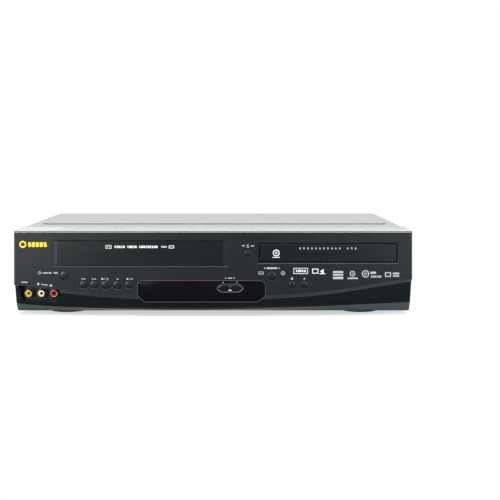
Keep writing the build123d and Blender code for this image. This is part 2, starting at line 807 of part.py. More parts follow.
def clutch_pulley():
    body = post(slot_x, clutch_y, pulley_low, pulley_high, clutch_pulley_radius)
    body += post(slot_x, clutch_y, pulley_low, deck_z + 5, 2.5)
    return body + post(slot_x, clutch_y, deck_z + 2, deck_z + 5, 9.0)


nodes["clutch_pulley"] = clutch_pulley()


def clutch_bush():
    bush = post(slot_x, clutch_y, deck_under - 3, deck_z + 1.6, bearing_radius)
    bush += post(slot_x, clutch_y, deck_z, deck_z + 1.6, bearing_radius + 2.5)
    return bush - post(slot_x, clutch_y, deck_under - 5, deck_z + 5, 2.5 + running)


nodes["deck_bearings"] = group([capstan_housing(), clutch_bush()])


def deck_belt():
    """Flat belt round the capstan and clutch pulleys."""
    slack = 0.2
    thick = 1.2

    def loop(grow):
        ends = Pos(capstan_x, capstan_y) * Circle(capstan_pulley + grow)
        ends += Pos(slot_x, clutch_y) * Circle(clutch_pulley_radius + grow)
        return make_hull(ends.edges())

    ring = loop(slack + thick) - loop(slack)
    return Pos(0, 0, pulley_low + 0.3) * extrude(ring, amount=pulley_high - pulley_low - 0.6)


def reel(x):
    """Reel table: flange, splined hub and bore for its pin."""
    low = deck_z + 3.0
    body = post(x, reel_y, low, low + 3, 17.0)
    body += post(x, reel_y, low, low + 15, 8.0)
    body -= post(x, reel_y, low - 1, deck_z + 14.5, 2.0 + running)
    for i in range(3):
        body += Pos(x, reel_y, 0) * Rot(0, 0, 120 * i) * box(7.5, 9.8, -1.0, 1.0, low + 3, low + 13)
    return body


nodes["supply_reel"] = reel(reel_places[0])
nodes["take_up_reel"] = reel(reel_places[1])


def pinch_arm():
    """Lever on the deck pin with the short shaft of the pinch roller."""
    low = deck_z + 0.3
    hub = post(arm_x, arm_y, low, low + 8, 5.0)
    span = arm_length
    turn = math.degrees(rest_angle)
    lever = Pos(arm_x, arm_y, 0) * Rot(0, 0, turn) * box(0, span, -2.5, 2.5, low, low + 3)
    tip = post(roller_x, roller_y, low, low + 3, 4.0)
    axle = post(roller_x, roller_y, low, low + 24, 1.2)
    return hub + lever + tip + axle - post(arm_x, arm_y, low - 1, low + 20, 2.0 + running)


nodes["pinch_arm"] = pinch_arm()
nodes["pinch_roller"] = (
    post(roller_x, roller_y, deck_z + 4.6, deck_z + 22, roller_radius)
    - post(roller_x, roller_y, deck_z, deck_z + 30, 1.2 + running)
)


def tape_guide(side):
    """Guide that draws the tape to the drum: sliding foot, keel in the deck slot and roller post."""
    x = slot_x + side * guide_dx
    foot_block = box(x - 5, x + 5, guide_y - 7, guide_y + 7, deck_z + 0.1, deck_z + 4)
    keel = post(x, guide_y, deck_under - 1, deck_z + 2, 2.0)
    pole = post(x, guide_y, deck_z + 3, deck_z + 25, 1.5)
    roller = post(x, guide_y, deck_z + 5, deck_z + 22, 3.0)
    return foot_block + keel + pole + roller + post(x, guide_y, deck_z + 23, deck_z + 25, 3.0)


nodes["supply_guide"] = tape_guide(-1)
nodes["take_up_guide"] = tape_guide(1)


def tape_head(x, y):
    plate = box(x - 8, x + 8, y - 5, y + 5, deck_z, deck_z + 2)
    head = box(x - 5, x + 5, y - 3, y + 4, deck_z, deck_z + 20)
    return plate + fillet(head.edges().filter_by(Axis.Z), 1.5)


nodes["tape_heads"] = group([tape_head(slot_x + 60.0, 18.0), tape_head(slot_x - 60.0, 18.0)])


# ---- disc drawer ----

def disc_tray():
    """Drawer: plate with the round disc well, open to the rear for the turntable."""
    x0 = drawer_x - tray_width / 2
    x1 = drawer_x + tray_width / 2
    front = front_y + door_back + door_thick
    plate = box(x0, x1, front, tray_back, tray_low, tray_low + tray_thick)
    plate -= post(drawer_x, disc_y, tray_low + 3, tray_low + 10, disc_radius + 0.8)
    plate -= post(drawer_x, disc_y, tray_low + 2.2, tray_low + 10, 40.5)
    plate -= post(drawer_x, disc_y, tray_low - 1, tray_low + 10, 21.0)
    plate -= box(drawer_x - 21, drawer_x + 21, disc_y, tray_back + 1, tray_low - 1, tray_low + 10)
    rack_x = x0 + 16.0
    plate += box(rack_x, rack_x + 3, front + 12, tray_back, tray_low - 2, tray_low + 1)
    return plate


nodes["disc_tray"] = disc_tray()


def tray_front():
    """Moulded front of the drawer with a chamfered edge and a shallow lens-shaped groove."""
    low = drawer_low + 0.9
    high = drawer_high - 0.9
    face = push_in(rounded_slot(drawer_x, low, high, drawer_width - 1.8), door_back, door_back + door_thick)
    face = chamfer(face.faces().sort_by(Axis.Y)[0].edges(), 0.7)
    lens_half = 34.5
    lens = make_face(Curve() + [
        ThreePointArc((-lens_half, 0), (0, 1.2), (lens_half, 0)),
        ThreePointArc((lens_half, 0), (0, -1.2), (-lens_half, 0)),
    ])
    return face - push_in(Pos(drawer_x, 69.2) * lens, 0.0, door_back + 0.6)


nodes["tray_front"] = tray_front()

rack_face = drawer_x - tray_width / 2 + 19.0
gear_x = rack_face + gap + rack_gear_radius
gear_y = -84.0
motor_x = gear_x + 40.0
motor_pulley_radius = 5.0


def loader_frame():
    """Moulded frame of the disc drive: floor, side rails that hold the tray, and the gear pin."""
    x0 = drawer_x - frame_width / 2
    x1 = drawer_x + frame_width / 2
    y0 = front_y + 20.0
    body = box(x0, x1, y0, frame_back, frame_low, frame_low + 2.4)
    body -= box(drawer_x - 40, drawer_x + 40, disc_y - 22, frame_back - 8, frame_low - 1, frame_low + 5)
    for a in (x0, x1 - 2.4):
        body += box(a, a + 2.4, y0, frame_back, frame_low, frame_high)
    body += box(x0, x1, frame_back - 2.4, frame_back, frame_low, frame_high)
    for side in (-1, 1):
        outer = drawer_x + side * (frame_width / 2 - 1)
        inner = drawer_x + side * (tray_width / 2 - 4)
        a, b = sorted((inner, outer))
        body += box(a, b, y0, frame_back - 10, tray_low - 2.4, tray_low - gap)
        body += box(a, b, y0, frame_back - 10, tray_low + tray_thick + gap, tray_low + tray_thick + 2.4)
    body -= post(motor_x, gear_y, frame_low - 1, frame_low + 3, 3.0)
    body += post(gear_x, gear_y, frame_low, tray_low - 1.5, 2.0)
    return body + post(gear_x, gear_y, frame_low, frame_low + 6.0, 4.0)


nodes["loader_frame"] = loader_frame()


def loader_gear():
    """Stepped drive wheel: the upper rim drives the tray's rack, the lower one takes the belt."""
    body = post(gear_x, gear_y, tray_low - 3, tray_low - 0.4, rack_gear_radius)
    body += post(gear_x, gear_y, frame_low + 7, tray_low - 1, 5.0)
    body += post(gear_x, gear_y, frame_low + 6.3, frame_low + 9.3, 15.0)
    return body - post(gear_x, gear_y, frame_low, tray_low + 1, 2.0 + running)


nodes["loader_gear"] = loader_gear()


def loader_motor():
    can = post(motor_x, gear_y, frame_low + 2.4, frame_low + 2.4 + 3.0, 11.0)
    return can + post(motor_x, gear_y, frame_low - 9, frame_low, 11.0) + post(
        motor_x, gear_y, frame_low - 1, frame_low + 9.5, 1.0)


nodes["motor_pulley"] = (
    post(motor_x, gear_y, frame_low + 5.9, frame_low + 9.6, motor_pulley_radius)
    - post(motor_x, gear_y, frame_low, frame_low + 20, 1.0 + running)
)


def loader_belt():
    slack = 0.2
    thick = 1.0

    def loop(grow):
        ends = Pos(gear_x, gear_y) * Circle(15.0 + grow)
        ends += Pos(motor_x, gear_y) * Circle(motor_pulley_radius + grow)
        return make_hull(ends.edges())

    ring = loop(slack + thick) - loop(slack)
    return Pos(0, 0, frame_low + 6.8) * extrude(ring, amount=2.0)


nodes["drive_belts"] = group([deck_belt(), loader_belt()])

base_plate_z = frame_low + 0.4
rod_z = frame_low + 9.0
rod_dx = 24.0
rod_y0 = disc_y - 8
rod_y1 = frame_back - 16


def traverse_base():
    """Sub-frame in the floor opening that carries the spindle motor and the guide rods."""
    x0 = drawer_x - 39.0
    x1 = drawer_x + 39.0
    y0 = disc_y - 21.0
    y1 = frame_back - 9.0
    plate = box(x0, x1, y0, y1, base_plate_z, base_plate_z + 2.0)
    plate -= box(drawer_x - 20, drawer_x + 20, disc_y + 15, y1 - 10, base_plate_z - 1, base_plate_z + 3)
    for side in (-1, 1):
        for y in (rod_y0, rod_y1 - 4):
            x = drawer_x + side * rod_dx
            plate += box(x - 3, x + 3, y, y + 4, base_plate_z, rod_z + 3) - bar_y(x, rod_z, y - 1, y + 5, rod_radius)
        edge = drawer_x + side * 39.0
        tab_a, tab_b = sorted((edge, edge + side * 6.0))
        plate += box(tab_a, tab_b, disc_y - 10, disc_y + 2, frame_low + 2.5, frame_low + 4.0)
        a, b = sorted((edge - side * 2.0, edge))
        plate += box(a, b, disc_y - 10, disc_y + 2, base_plate_z, frame_low + 4.0)
    return plate


nodes["traverse_base"] = traverse_base()
nodes["guide_rods"] = group(
    [bar_y(drawer_x + side * rod_dx, rod_z, rod_y0, rod_y1, rod_radius) for side in (-1, 1)]
)


def spindle_motor():
    can = post(drawer_x, disc_y, base_plate_z + 2.0, base_plate_z + 9.0, 12.0)
    return can - post(drawer_x, disc_y, base_plate_z + 3, base_plate_z + 12, 1.5 + running)


nodes["loader_motors"] = group([loader_motor(), spindle_motor()])


def turntable():
    low = base_plate_z + 9.4
    top = tray_low + 3.0
    body = post(drawer_x, disc_y, low, low + 2, 13.0)
    body += post(drawer_x, disc_y, low, top, 9.0)
    body += post(drawer_x, disc_y, top - 1, top + 2.4, 7.2)
    return body + post(drawer_x, disc_y, base_plate_z + 4, low + 1, 1.5)


nodes["turntable"] = turntable()


def optical_pickup():
    """Laser sled that runs on the two rods, with the lens on top."""
    y0 = disc_y + 15.0
    y1 = y0 + 24.0
    body = box(drawer_x - 18, drawer_x + 18, y0, y1, rod_z - 5, rod_z + 4)
    for side in (-1, 1):
        x = drawer_x + side * rod_dx
        a, b = sorted((drawer_x + side * 17, x + side * 4))
        body += box(a, b, y0 + 3, y1 - 3, rod_z - 4, rod_z + 4)
        body -= bar_y(x, rod_z, y0 - 1, y1 + 1, rod_radius + running)
    body += box(drawer_x - 9, drawer_x + 9, y0 + 4, y1 - 4, rod_z + 4, rod_z + 6.5)
    return body + post(drawer_x, y0 + 12, rod_z + 6, rod_z + 7.6, 2.8)


nodes["optical_pickup"] = optical_pickup()

def clamp_bridge():
    x0 = drawer_x - frame_width / 2
    x1 = drawer_x + frame_width / 2
    bridge = box(x0, x1, disc_y - 22, disc_y + 22, frame_high, frame_high + 1.2)
    return bridge - post(drawer_x, disc_y, frame_high - 1, frame_high + 3, 13.0)


nodes["clamp_bridge"] = clamp_bridge()
nodes["disc_clamper"] = (
    post(drawer_x, disc_y, frame_high + 1.2 + 0.2, frame_high + 3.2, 16.5)
    + post(drawer_x, disc_y, frame_high - 11.0, frame_high + 2.0, 12.4)
    - post(drawer_x, disc_y, frame_high - 12.0, frame_high - 8.0, 7.6)
)


# ---- boards and sockets ----

def chip(x, y, z, wide, deep, high):
    return box(x - wide / 2, x + wide / 2, y - deep / 2, y + deep / 2, z, z + high)


def can(x, y, z, radius, high):
    return post(x, y, z, z + high, radius)


board_top = board_z + board


def past_posts(plate):
    """Cuts a board clear of the posts that carry the disc drive above it."""
    for x, y in frame_posts:
        plate -= post(x, y, board_z - 1, board_top + 1, 5.0)
    return plate


def main_board():
    plate = box(30.0, 208.0, -76.0, 16.0, board_z, board_top)
    plate = past_posts(plate)
    for x, y, wide, deep, high in ((70, -40, 28, 28, 3), (110, -30, 20, 20, 2.5), (150, -45, 14, 20, 2.5),
                                   (60, 0, 30, 8, 9), (120, -68, 40, 6, 8), (176, -20, 10, 26, 6)):
        plate += chip(x, y, board_top - 0.1, wide, deep, high)
    for i in range(7):
        plate += can(50.0 + 20 * i, -58.0 + 6 * (i % 2), board_top - 0.1, 4.0, 12.0)
    return plate


def power_board():
    """Supply board: transformer, smoothing cans, heat sink and mains inlet lead-in."""
    plate = past_posts(box(98.0, 210.0, 22.0, 107.0, board_z, board_top))
    z = board_top - 0.1
    plate += chip(140.0, 52.0, z, 34, 30, 26) + chip(140.0, 52.0, z, 24, 36, 20)
    plate += can(180.0, 44.0, z, 11.0, 28.0)
    for x, y in ((112.0, 34.0), (112.0, 50.0), (112.0, 66.0), (112.0, 82.0)):
        plate += can(x, y, z, 5.0, 18.0)
    plate += chip(160.0, 80.0, z, 26, 3, 26)
    for i in range(6):
        plate += chip(149.0 + i * 4.4, 84.0, z + 4, 1.4, 8, 22)
    return plate + chip(196.0, 84.0, z, 16, 22, 14)


nodes["power_board"] = power_board()


def av_board():
    plate = box(-152.0, 68.0, 70.0, 107.6, board_z, board_top)
    for x, wide in ((-120.0, 12), (-60.0, 18), (10.0, 14), (40.0, 20)):
        plate += chip(x, 80.0, board_top - 0.1, wide, 10, 4)
    for i in range(4):
        plate += can(20.0 + 12 * i, 98.0, board_top - 0.1, 4.0, 12.0)
    return plate


nodes["signal_boards"] = group([main_board(), av_board()])


def scart_sockets():
    """Two 21-way sockets in one stack, standing on the rear board."""
    low = scart_places[0][1] - 9.0
    high = scart_places[1][1] + 9.0
    body = box(-118.0, -66.0, 96.0, rear_y - sheet - 0.2, board_top, high)
    for x, z in scart_places:
        shell = box(x - 23.8, x + 23.8, 97.0, rear_y + 4.0, z - 7.0, z + 7.0)
        body += shell
        slot = box(x - 21.5, x + 21.5, rear_y - 9.0, rear_y + 5.0, z - 4.6, z + 4.6)
        body -= slot
        body += box(x - 19.0, x + 19.0, rear_y - 10.0, rear_y + 2.0, z - 1.6, z + 1.6)
    return body


def phono_block():
    """Block of six phono sockets at the rear."""
    body = box(-43.0, 3.0, 96.0, rear_y - sheet - 0.2, board_top, 53.0)
    for x, z in phono_places:
        body += bar_y(x, z, 97.0, rear_y + 7.5, jack_radius)
        body -= bar_y(x, z, rear_y - 3.0, rear_y + 9.0, jack_radius - 0.9)
        body += bar_y(x, z, rear_y - 4.0, rear_y + 6.0, 2.1)
        body -= bar_y(x, z, rear_y - 3.0, rear_y + 9.0, 1.65)
    return body


def tuner():
    """Screened tuner can with the two aerial sockets."""
    body = box(tuner_right - 46.0, tuner_right, tuner_front, rear_y - sheet - 0.2, 18.0, 80.0)
    body = fillet(body.edges().filter_by(Axis.Z), 1.0)
    for x, z in aerial_places:
        body += bar_y(x, z, 107.0, rear_y + socket_reach, aerial_radius)
        body -= bar_y(x, z, rear_y - 6.0, rear_y + 10.0, 3.9)
        body += bar_y(x, z, rear_y - 7.0, rear_y + socket_reach - 2.5, 1.1)
    legs = box(-204.0, -200.0, 80.0, 84.0, base_z + sheet, 18.5) + box(-166.0, -162.0, 80.0, 84.0, base_z + sheet, 18.5)
    legs += box(-204.0, -200.0, 102.0, 106.0, base_z + sheet, 18.5)
    return body + legs


nodes["tuner"] = tuner()


def mains_inlet():
    """Two-pole inlet with its pins in a waisted mouth."""
    body = box(inlet_x - 10.0, inlet_x + 10.0, 96.0, rear_y + 1.5, inlet_z - 6.0, inlet_z + 6.0)
    body += box(inlet_x - 13.0, inlet_x + 13.0, 104.0, rear_y - sheet - 0.1, inlet_z - 9.0, inlet_z + 9.0)
    for side in (-1, 1):
        body -= bar_y(inlet_x + side * 4.3, inlet_z, rear_y - 11.0, rear_y + 3.0, 4.6)
    for side in (-1, 1):
        body += bar_y(inlet_x + side * 4.3, inlet_z, 98.0, rear_y - 1.0, 1.2)
    return body + box(inlet_x - 8.0, inlet_x + 8.0, 97.0, 104.0, board_top, inlet_z - 5.0)


nodes["rear_sockets"] = group([scart_sockets(), phono_block(), mains_inlet()])


def ribbon_cable():
    """Flat cable from the main board up to the key board."""
    back = board_front + board + 6.2
    flat = box(-40.0, -12.0, back, back + 0.8, 12.0, 46.0)
    flat += box(-40.0, 44.0, back, front_y + 32.0, 12.0, 12.8)
    return flat + box(36.0, 44.0, back, front_y + 46.5, 12.0, 12.8)


nodes["ribbon_cable"] = ribbon_cable()

os.makedirs("parts", exist_ok=True)
for name, shape in nodes.items():
    export_step(shape, "parts/" + name + ".step")
print(len(nodes), "nodes")
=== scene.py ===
import math

import bpy
from mathutils import Matrix, Vector


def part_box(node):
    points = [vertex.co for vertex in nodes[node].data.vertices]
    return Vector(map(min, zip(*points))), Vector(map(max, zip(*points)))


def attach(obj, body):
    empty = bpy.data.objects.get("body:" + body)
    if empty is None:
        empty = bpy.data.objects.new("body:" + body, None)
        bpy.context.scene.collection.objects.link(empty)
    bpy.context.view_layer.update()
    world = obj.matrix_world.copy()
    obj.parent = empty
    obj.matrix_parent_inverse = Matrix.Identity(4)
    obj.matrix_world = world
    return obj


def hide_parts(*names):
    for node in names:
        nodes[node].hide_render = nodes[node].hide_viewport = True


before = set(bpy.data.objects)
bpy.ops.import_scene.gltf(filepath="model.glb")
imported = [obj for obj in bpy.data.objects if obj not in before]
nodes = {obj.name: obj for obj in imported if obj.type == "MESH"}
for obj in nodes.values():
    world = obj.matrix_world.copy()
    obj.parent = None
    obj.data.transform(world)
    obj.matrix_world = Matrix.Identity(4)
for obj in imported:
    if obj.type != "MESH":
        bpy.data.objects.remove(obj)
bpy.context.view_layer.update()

MM = 0.001
SETBACK = 0.3               # the flap and the drawer sit this far behind the panel, in millimetres
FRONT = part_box("cassette_door")[0].y - SETBACK * MM     # the front panel's flat face
NEAR = 0.01 * MM            # a point this close to a plane counts as on it
MERGE = 0.000001            # points closer than this, in metres, are made one


# ---- colour and material helpers ----

def linear(hex_colour):
    """A colour written in sRGB hex, as the linear values that a shader takes."""
    channels = [int(hex_colour[i:i + 2], 16) / 255 for i in (0, 2, 4)]
    straight = [c / 12.92 if c <= 0.04045 else ((c + 0.055) / 1.055) ** 2.4 for c in channels]
    return (*straight, 1.0)


def add_node(tree, kind, values=None, links=None, **settings):
    """Adds a node with its settings, its socket values and the outputs that feed it."""
    node = tree.nodes.new(kind)
    for name, value in settings.items():
        setattr(node, name, value)
    for socket, value in (values or {}).items():
        node.inputs[socket].default_value = value
    for socket, source in (links or {}).items():
        tree.links.new(source, node.inputs[socket])
    return node


COLOUR_A, COLOUR_B, COLOUR_OUT = 6, 7, 2            # a Mix node's sockets for colours


def new_material(name, **values):
    """A Principled material and what its pattern starts from: its tree, shader and place."""
    material = bpy.data.materials.new(name)
    material.use_nodes = True
    tree = material.node_tree
    tree.nodes.clear()
    sockets = {key.replace("_", " "): value for key, value in values.items()}
    shader = add_node(tree, "ShaderNodeBsdfPrincipled", sockets)
    add_node(tree, "ShaderNodeOutputMaterial", links={"Surface": shader.outputs[0]})
    place = add_node(tree, "ShaderNodeTexCoord").outputs["Object"]
    return material, tree, shader, place


def per_metre(size_mm):
    """The texture scale at which one feature of the pattern is this many millimetres."""
    return 1000.0 / size_mm


WAVE_SHARE = 6.2832         # a Wave node then repeats at nearly twice the size that is given


def grain(tree, shader, place, size_mm, depth_mm, strength):
    """Fine moulded, painted or cast grain as bump."""
    noise = add_node(tree, "ShaderNodeTexNoise", {"Scale": per_metre(size_mm), "Detail": 3.0},
                     {"Vector": place})
    bump = add_node(tree, "ShaderNodeBump", {"Strength": strength, "Distance": depth_mm * MM},
                    {"Height": noise.outputs[0]})
    tree.links.new(bump.outputs[0], shader.inputs["Normal"])


def mottle(tree, shader, place, size_mm, one, two, rough_low, rough_high):
    """Slow drift between two close colours, with roughness that follows a finer drift."""
    drift = add_node(tree, "ShaderNodeTexNoise", {"Scale": per_metre(size_mm), "Detail": 4.0},
                     {"Vector": place})
    blend = add_node(tree, "ShaderNodeMix", {COLOUR_A: linear(one), COLOUR_B: linear(two)},
                     {"Factor": drift.outputs[0]}, data_type="RGBA")
    tree.links.new(blend.outputs[COLOUR_OUT], shader.inputs["Base Color"])
    haze = add_node(tree, "ShaderNodeTexNoise", {"Scale": per_metre(size_mm / 3), "Detail": 5.0},
                    {"Vector": place})
    rough = add_node(tree, "ShaderNodeMapRange", {"To Min": rough_low, "To Max": rough_high},
                     {"Value": haze.outputs[0]})
    tree.links.new(rough.outputs[0], shader.inputs["Roughness"])


# ---- materials: the case ----

def fine_textured_abs():
    """Moulded black ABS with a spark-eroded grain: soft sheen, faintly blue, smoother on its top.

    The bevels and the sill under the lower face are painted paler, as a painted reflection of the
    bright floor, and the slanted lower face is painted darker, as painted shade, and is glossier too.
    The grain is drawn several times its real width, so that it shows.
    """
    bevels_from, lower_from, sill_from = 0.02, 4.45, 10.45      # millimetres behind the flat face
    sill_top, recess_low, top_from, top_to = 15.2, 17.0, 91.8, 92.8     # heights in millimetres
    recess_side = -168.3                                # the jack recess ends here, towards the middle
    grain_strength, top_strength, half = 0.25, 0.02, 0.5
    material, tree, shader, place = new_material("fine_textured_abs", IOR=1.5, Specular_IOR_Level=0.4)
    mottle(tree, shader, place, 60.0, "11171a", "151b1f", 0.34, 0.44)
    grain(tree, shader, place, 0.7, 0.02, grain_strength)
    where = add_node(tree, "ShaderNodeSeparateXYZ", links={0: place})
    bevels, lower_face, behind = [
        add_node(tree, "ShaderNodeMath", {1: FRONT + depth * MM}, {0: where.outputs["Y"]},
                 operation="GREATER_THAN").outputs[0] for depth in (bevels_from, lower_from, sill_from)]
    low = add_node(tree, "ShaderNodeMath", {1: sill_top * MM}, {0: where.outputs["Z"]},
                   operation="LESS_THAN")
    sill = add_node(tree, "ShaderNodeMath", links={0: behind, 1: low.outputs[0]},
                    operation="MULTIPLY").outputs[0]
    # Painted light: the base colour is scaled up on the bevels and the sill as a painted reflection of
    # the floor, and down on the lower face as painted shade.
    tone = None
    for region, painted_light_change in ((bevels, 1.4), (lower_face, -1.5), (sill, 2.3)):
        tone = add_node(tree, "ShaderNodeMath", {1: painted_light_change, 2: 1.0},
                        {0: region, 2: tone} if tone else {0: region},
                        operation="MULTIPLY_ADD").outputs[0]
    # the mottled colour times the painted light scale
    colour = shader.inputs["Base Color"].links[0].from_socket
    painted_light_colour = add_node(tree, "ShaderNodeVectorMath", links={0: colour, "Scale": tone}, operation="SCALE")
    tree.links.new(painted_light_colour.outputs[0], shader.inputs["Base Color"])
    past_jacks = add_node(tree, "ShaderNodeMath", {1: recess_side * MM}, {0: where.outputs["X"]},
                          operation="GREATER_THAN")
    below = add_node(tree, "ShaderNodeMath", {1: recess_low * MM}, {0: where.outputs["Z"]},
                     operation="LESS_THAN")
    outside = add_node(tree, "ShaderNodeMath", links={0: past_jacks.outputs[0], 1: below.outputs[0]},
                       operation="MAXIMUM")
    glossy = add_node(tree, "ShaderNodeMath", links={0: lower_face, 1: outside.outputs[0]},
                      operation="MULTIPLY")
    gloss = add_node(tree, "ShaderNodeMath", {1: -half, 2: 1.0}, {0: glossy.outputs[0]},
                     operation="MULTIPLY_ADD")
    top = {"From Min": top_from * MM, "From Max": top_to * MM}
    polish = add_node(tree, "ShaderNodeMapRange", {**top, "To Min": 1.0, "To Max": half},
                      {"Value": where.outputs["Z"]})
    calm = add_node(tree, "ShaderNodeMapRange",
                    {**top, "To Min": grain_strength, "To Max": top_strength},
                    {"Value": where.outputs["Z"]})
    bump = shader.inputs["Normal"].links[0].from_node
    tree.links.new(calm.outputs[0], bump.inputs["Strength"])
    rough = shader.inputs["Roughness"].links[0].from_socket
    eased = add_node(tree, "ShaderNodeMath", links={0: rough, 1: polish.outputs[0]},
                     operation="MULTIPLY")
    lowered = add_node(tree, "ShaderNodeMath", links={0: eased.outputs[0], 1: gloss.outputs[0]},
                       operation="MULTIPLY")
    tree.links.new(lowered.outputs[0], shader.inputs["Roughness"])
    return material


def satin_abs():
    """Smoother moulded ABS of the flap and the drawer front, a little darker than the panel."""
    material, tree, shader, place = new_material("satin_abs", IOR=1.5, Specular_IOR_Level=0.45)
    mottle(tree, shader, place, 50.0, "0d1214", "111619", 0.26, 0.33)
    grain(tree, shader, place, 1.1, 0.015, 0.12)
    return material


def button_abs():
    """Fine satin ABS of the caps, with finger polish that lowers the roughness in patches."""
    material, tree, shader, place = new_material("button_abs", IOR=1.5, Specular_IOR_Level=0.5)
    mottle(tree, shader, place, 9.0, "12161a", "181d21", 0.22, 0.36)
    grain(tree, shader, place, 0.5, 0.01, 0.12)
    return material


def polished_edge_abs():
    """The same black ABS where the mould was polished: a narrow mirror-like flat."""
    material, tree, shader, place = new_material("polished_edge_abs", IOR=1.5, Specular_IOR_Level=1.0)
    mottle(tree, shader, place, 30.0, "15191c", "191e21", 0.05, 0.08)
    return material


def smoked_acrylic():
    """Polished smoked acrylic: near-black with a violet cast, too dark to show what is behind it."""
    material, tree, shader, place = new_material("smoked_acrylic", IOR=1.49, Specular_IOR_Level=0.3)
    mottle(tree, shader, place, 70.0, "07060b", "0d0a12", 0.07, 0.12)
    return material


def painted_highlight_lens_rim():
    """The lens's bevelled rim, painted paler than its face: a painted highlight."""
    material, tree, shader, place = new_material("painted_highlight_lens_rim", IOR=1.49)
    mottle(tree, shader, place, 20.0, "484852", "54545e", 0.2, 0.3)
    return material


def vinyl_laminated_steel():
    """Black steel sheet with an embossed vinyl skin: leather-like grain that catches low light."""
    material, tree, shader, place = new_material(
        "vinyl_laminated_steel", IOR=1.5, Specular_IOR_Level=0.5)
    mottle(tree, shader, place, 90.0, "161717", "1d1e1e", 0.30, 0.38)
    cells = add_node(tree, "ShaderNodeTexVoronoi", {"Scale": per_metre(1.3)}, {"Vector": place},
                     feature="SMOOTH_F1")
    bump = add_node(tree, "ShaderNodeBump", {"Strength": 0.03, "Distance": 0.03 * MM},
                    {"Height": cells.outputs["Distance"]})
    tree.links.new(bump.outputs[0], shader.inputs["Normal"])
    return material


def black_powder_coat():
    """Powder-coated sheet of the rear panel: even orange-peel grain."""
    material, tree, shader, place = new_material("black_powder_coat", IOR=1.5)
    mottle(tree, shader, place, 40.0, "1b1c1d", "232425", 0.42, 0.55)
    grain(tree, shader, place, 1.0, 0.03, 0.3)
    return material


def zinc_plated_steel():
    """Galvanised sheet: large pale spangles with different sheen, and a faint grain."""
    material, tree, shader, place = new_material("zinc_plated_steel", Metallic=1.0)
    spangle = add_node(tree, "ShaderNodeTexVoronoi", {"Scale": per_metre(9.0)}, {"Vector": place})
    tone = add_node(tree, "ShaderNodeSeparateColor", links={0: spangle.outputs["Color"]})
    blend = add_node(tree, "ShaderNodeMix", {COLOUR_A: linear("a3a6a7"), COLOUR_B: linear("c4c6c6")},
                     {"Factor": tone.outputs[0]}, data_type="RGBA")
    tree.links.new(blend.outputs[COLOUR_OUT], shader.inputs["Base Color"])
    rough = add_node(tree, "ShaderNodeMapRange", {"To Min": 0.28, "To Max": 0.42},
                     {"Value": tone.outputs[1]})
    tree.links.new(rough.outputs[0], shader.inputs["Roughness"])
    grain(tree, shader, place, 0.9, 0.01, 0.15)
    return material


def black_zinc_screw():
    """Black-passivated steel screws, worn to bare metal in small spots."""
    material, tree, shader, place = new_material("black_zinc_screw", Metallic=0.9)
    mottle(tree, shader, place, 1.5, "1f2023", "3c3d40", 0.3, 0.45)
    return material


def moulded_rubber():
    """Black thermoplastic rubber of the feet, dull with a slight bloom."""
    material, tree, shader, place = new_material("moulded_rubber", IOR=1.5, Specular_IOR_Level=0.3)
    mottle(tree, shader, place, 12.0, "141414", "1e1e1d", 0.62, 0.8)
    grain(tree, shader, place, 0.8, 0.03, 0.3)
    return material


# ---- materials: jacks, prints and lamps ----

def nickel_plate():
    """Warm nickel plating, its shine a little uneven from handling."""
    material, tree, shader, place = new_material("nickel_plate", Metallic=1.0)
    mottle(tree, shader, place, 4.0, "cfc4a6", "ded6bf", 0.3, 0.4)
    return material


def coloured_moulding(name, one, two):
    """Glossy coloured ABS of a jack's insulator, with slight flow marks."""
    material, tree, shader, place = new_material(name, IOR=1.5, Specular_IOR_Level=0.5)
    mottle(tree, shader, place, 3.0, one, two, 0.2, 0.3)
    return material


def printed_ink(name, one, two):
    """Screen-printed ink: matt, and very slightly uneven where the mesh left it."""
    material, tree, shader, place = new_material(name, IOR=1.45, Specular_IOR_Level=0.2)
    mottle(tree, shader, place, 1.2, one, two, 0.55, 0.7)
    return material


def clear_lens():
    """Small tinted lens over an indicator, dark while the lamp is off."""
    material, tree, shader, place = new_material("clear_lens", IOR=1.49, Coat_Weight=0.3)
    mottle(tree, shader, place, 3.0, "1a1717", "241d1c", 0.1, 0.16)
    return material


# ---- materials: the inside ----

def phenolic_board():
    """Brown resin-bonded paper board: the drift of its fibres, and a slightly uneven face."""
    material, tree, shader, place = new_material("phenolic_board", IOR=1.5)
    mottle(tree, shader, place, 6.0, "8a6a35", "a07d42", 0.35, 0.5)
    grain(tree, shader, place, 2.0, 0.05, 0.2)
    return material


def display_glass():
    """Sealed glass tube of the display: a polished grey-green face."""
    material, tree, shader, place = new_material("display_glass", IOR=1.52, Coat_Weight=0.4)
    mottle(tree, shader, place, 5.0, "2b3a36", "37473f", 0.06, 0.12)
    return material


def drawn_steel():
    """Bright drawn steel of springs, rods and motor cans, its shine broken by faint wear."""
    material, tree, shader, place = new_material("drawn_steel", Metallic=1.0)
    mottle(tree, shader, place, 5.0, "9b9d9e", "b8babb", 0.2, 0.34)
    return material


def natural_acetal():
    """Milky natural acetal of the slides, gears and reels: slightly waxy."""
    material, tree, shader, place = new_material(
        "natural_acetal", IOR=1.48, Subsurface_Weight=0.1, Subsurface_Scale=0.002)
    mottle(tree, shader, place, 10.0, "d8d5ca", "e4e1d7", 0.32, 0.42)
    return material


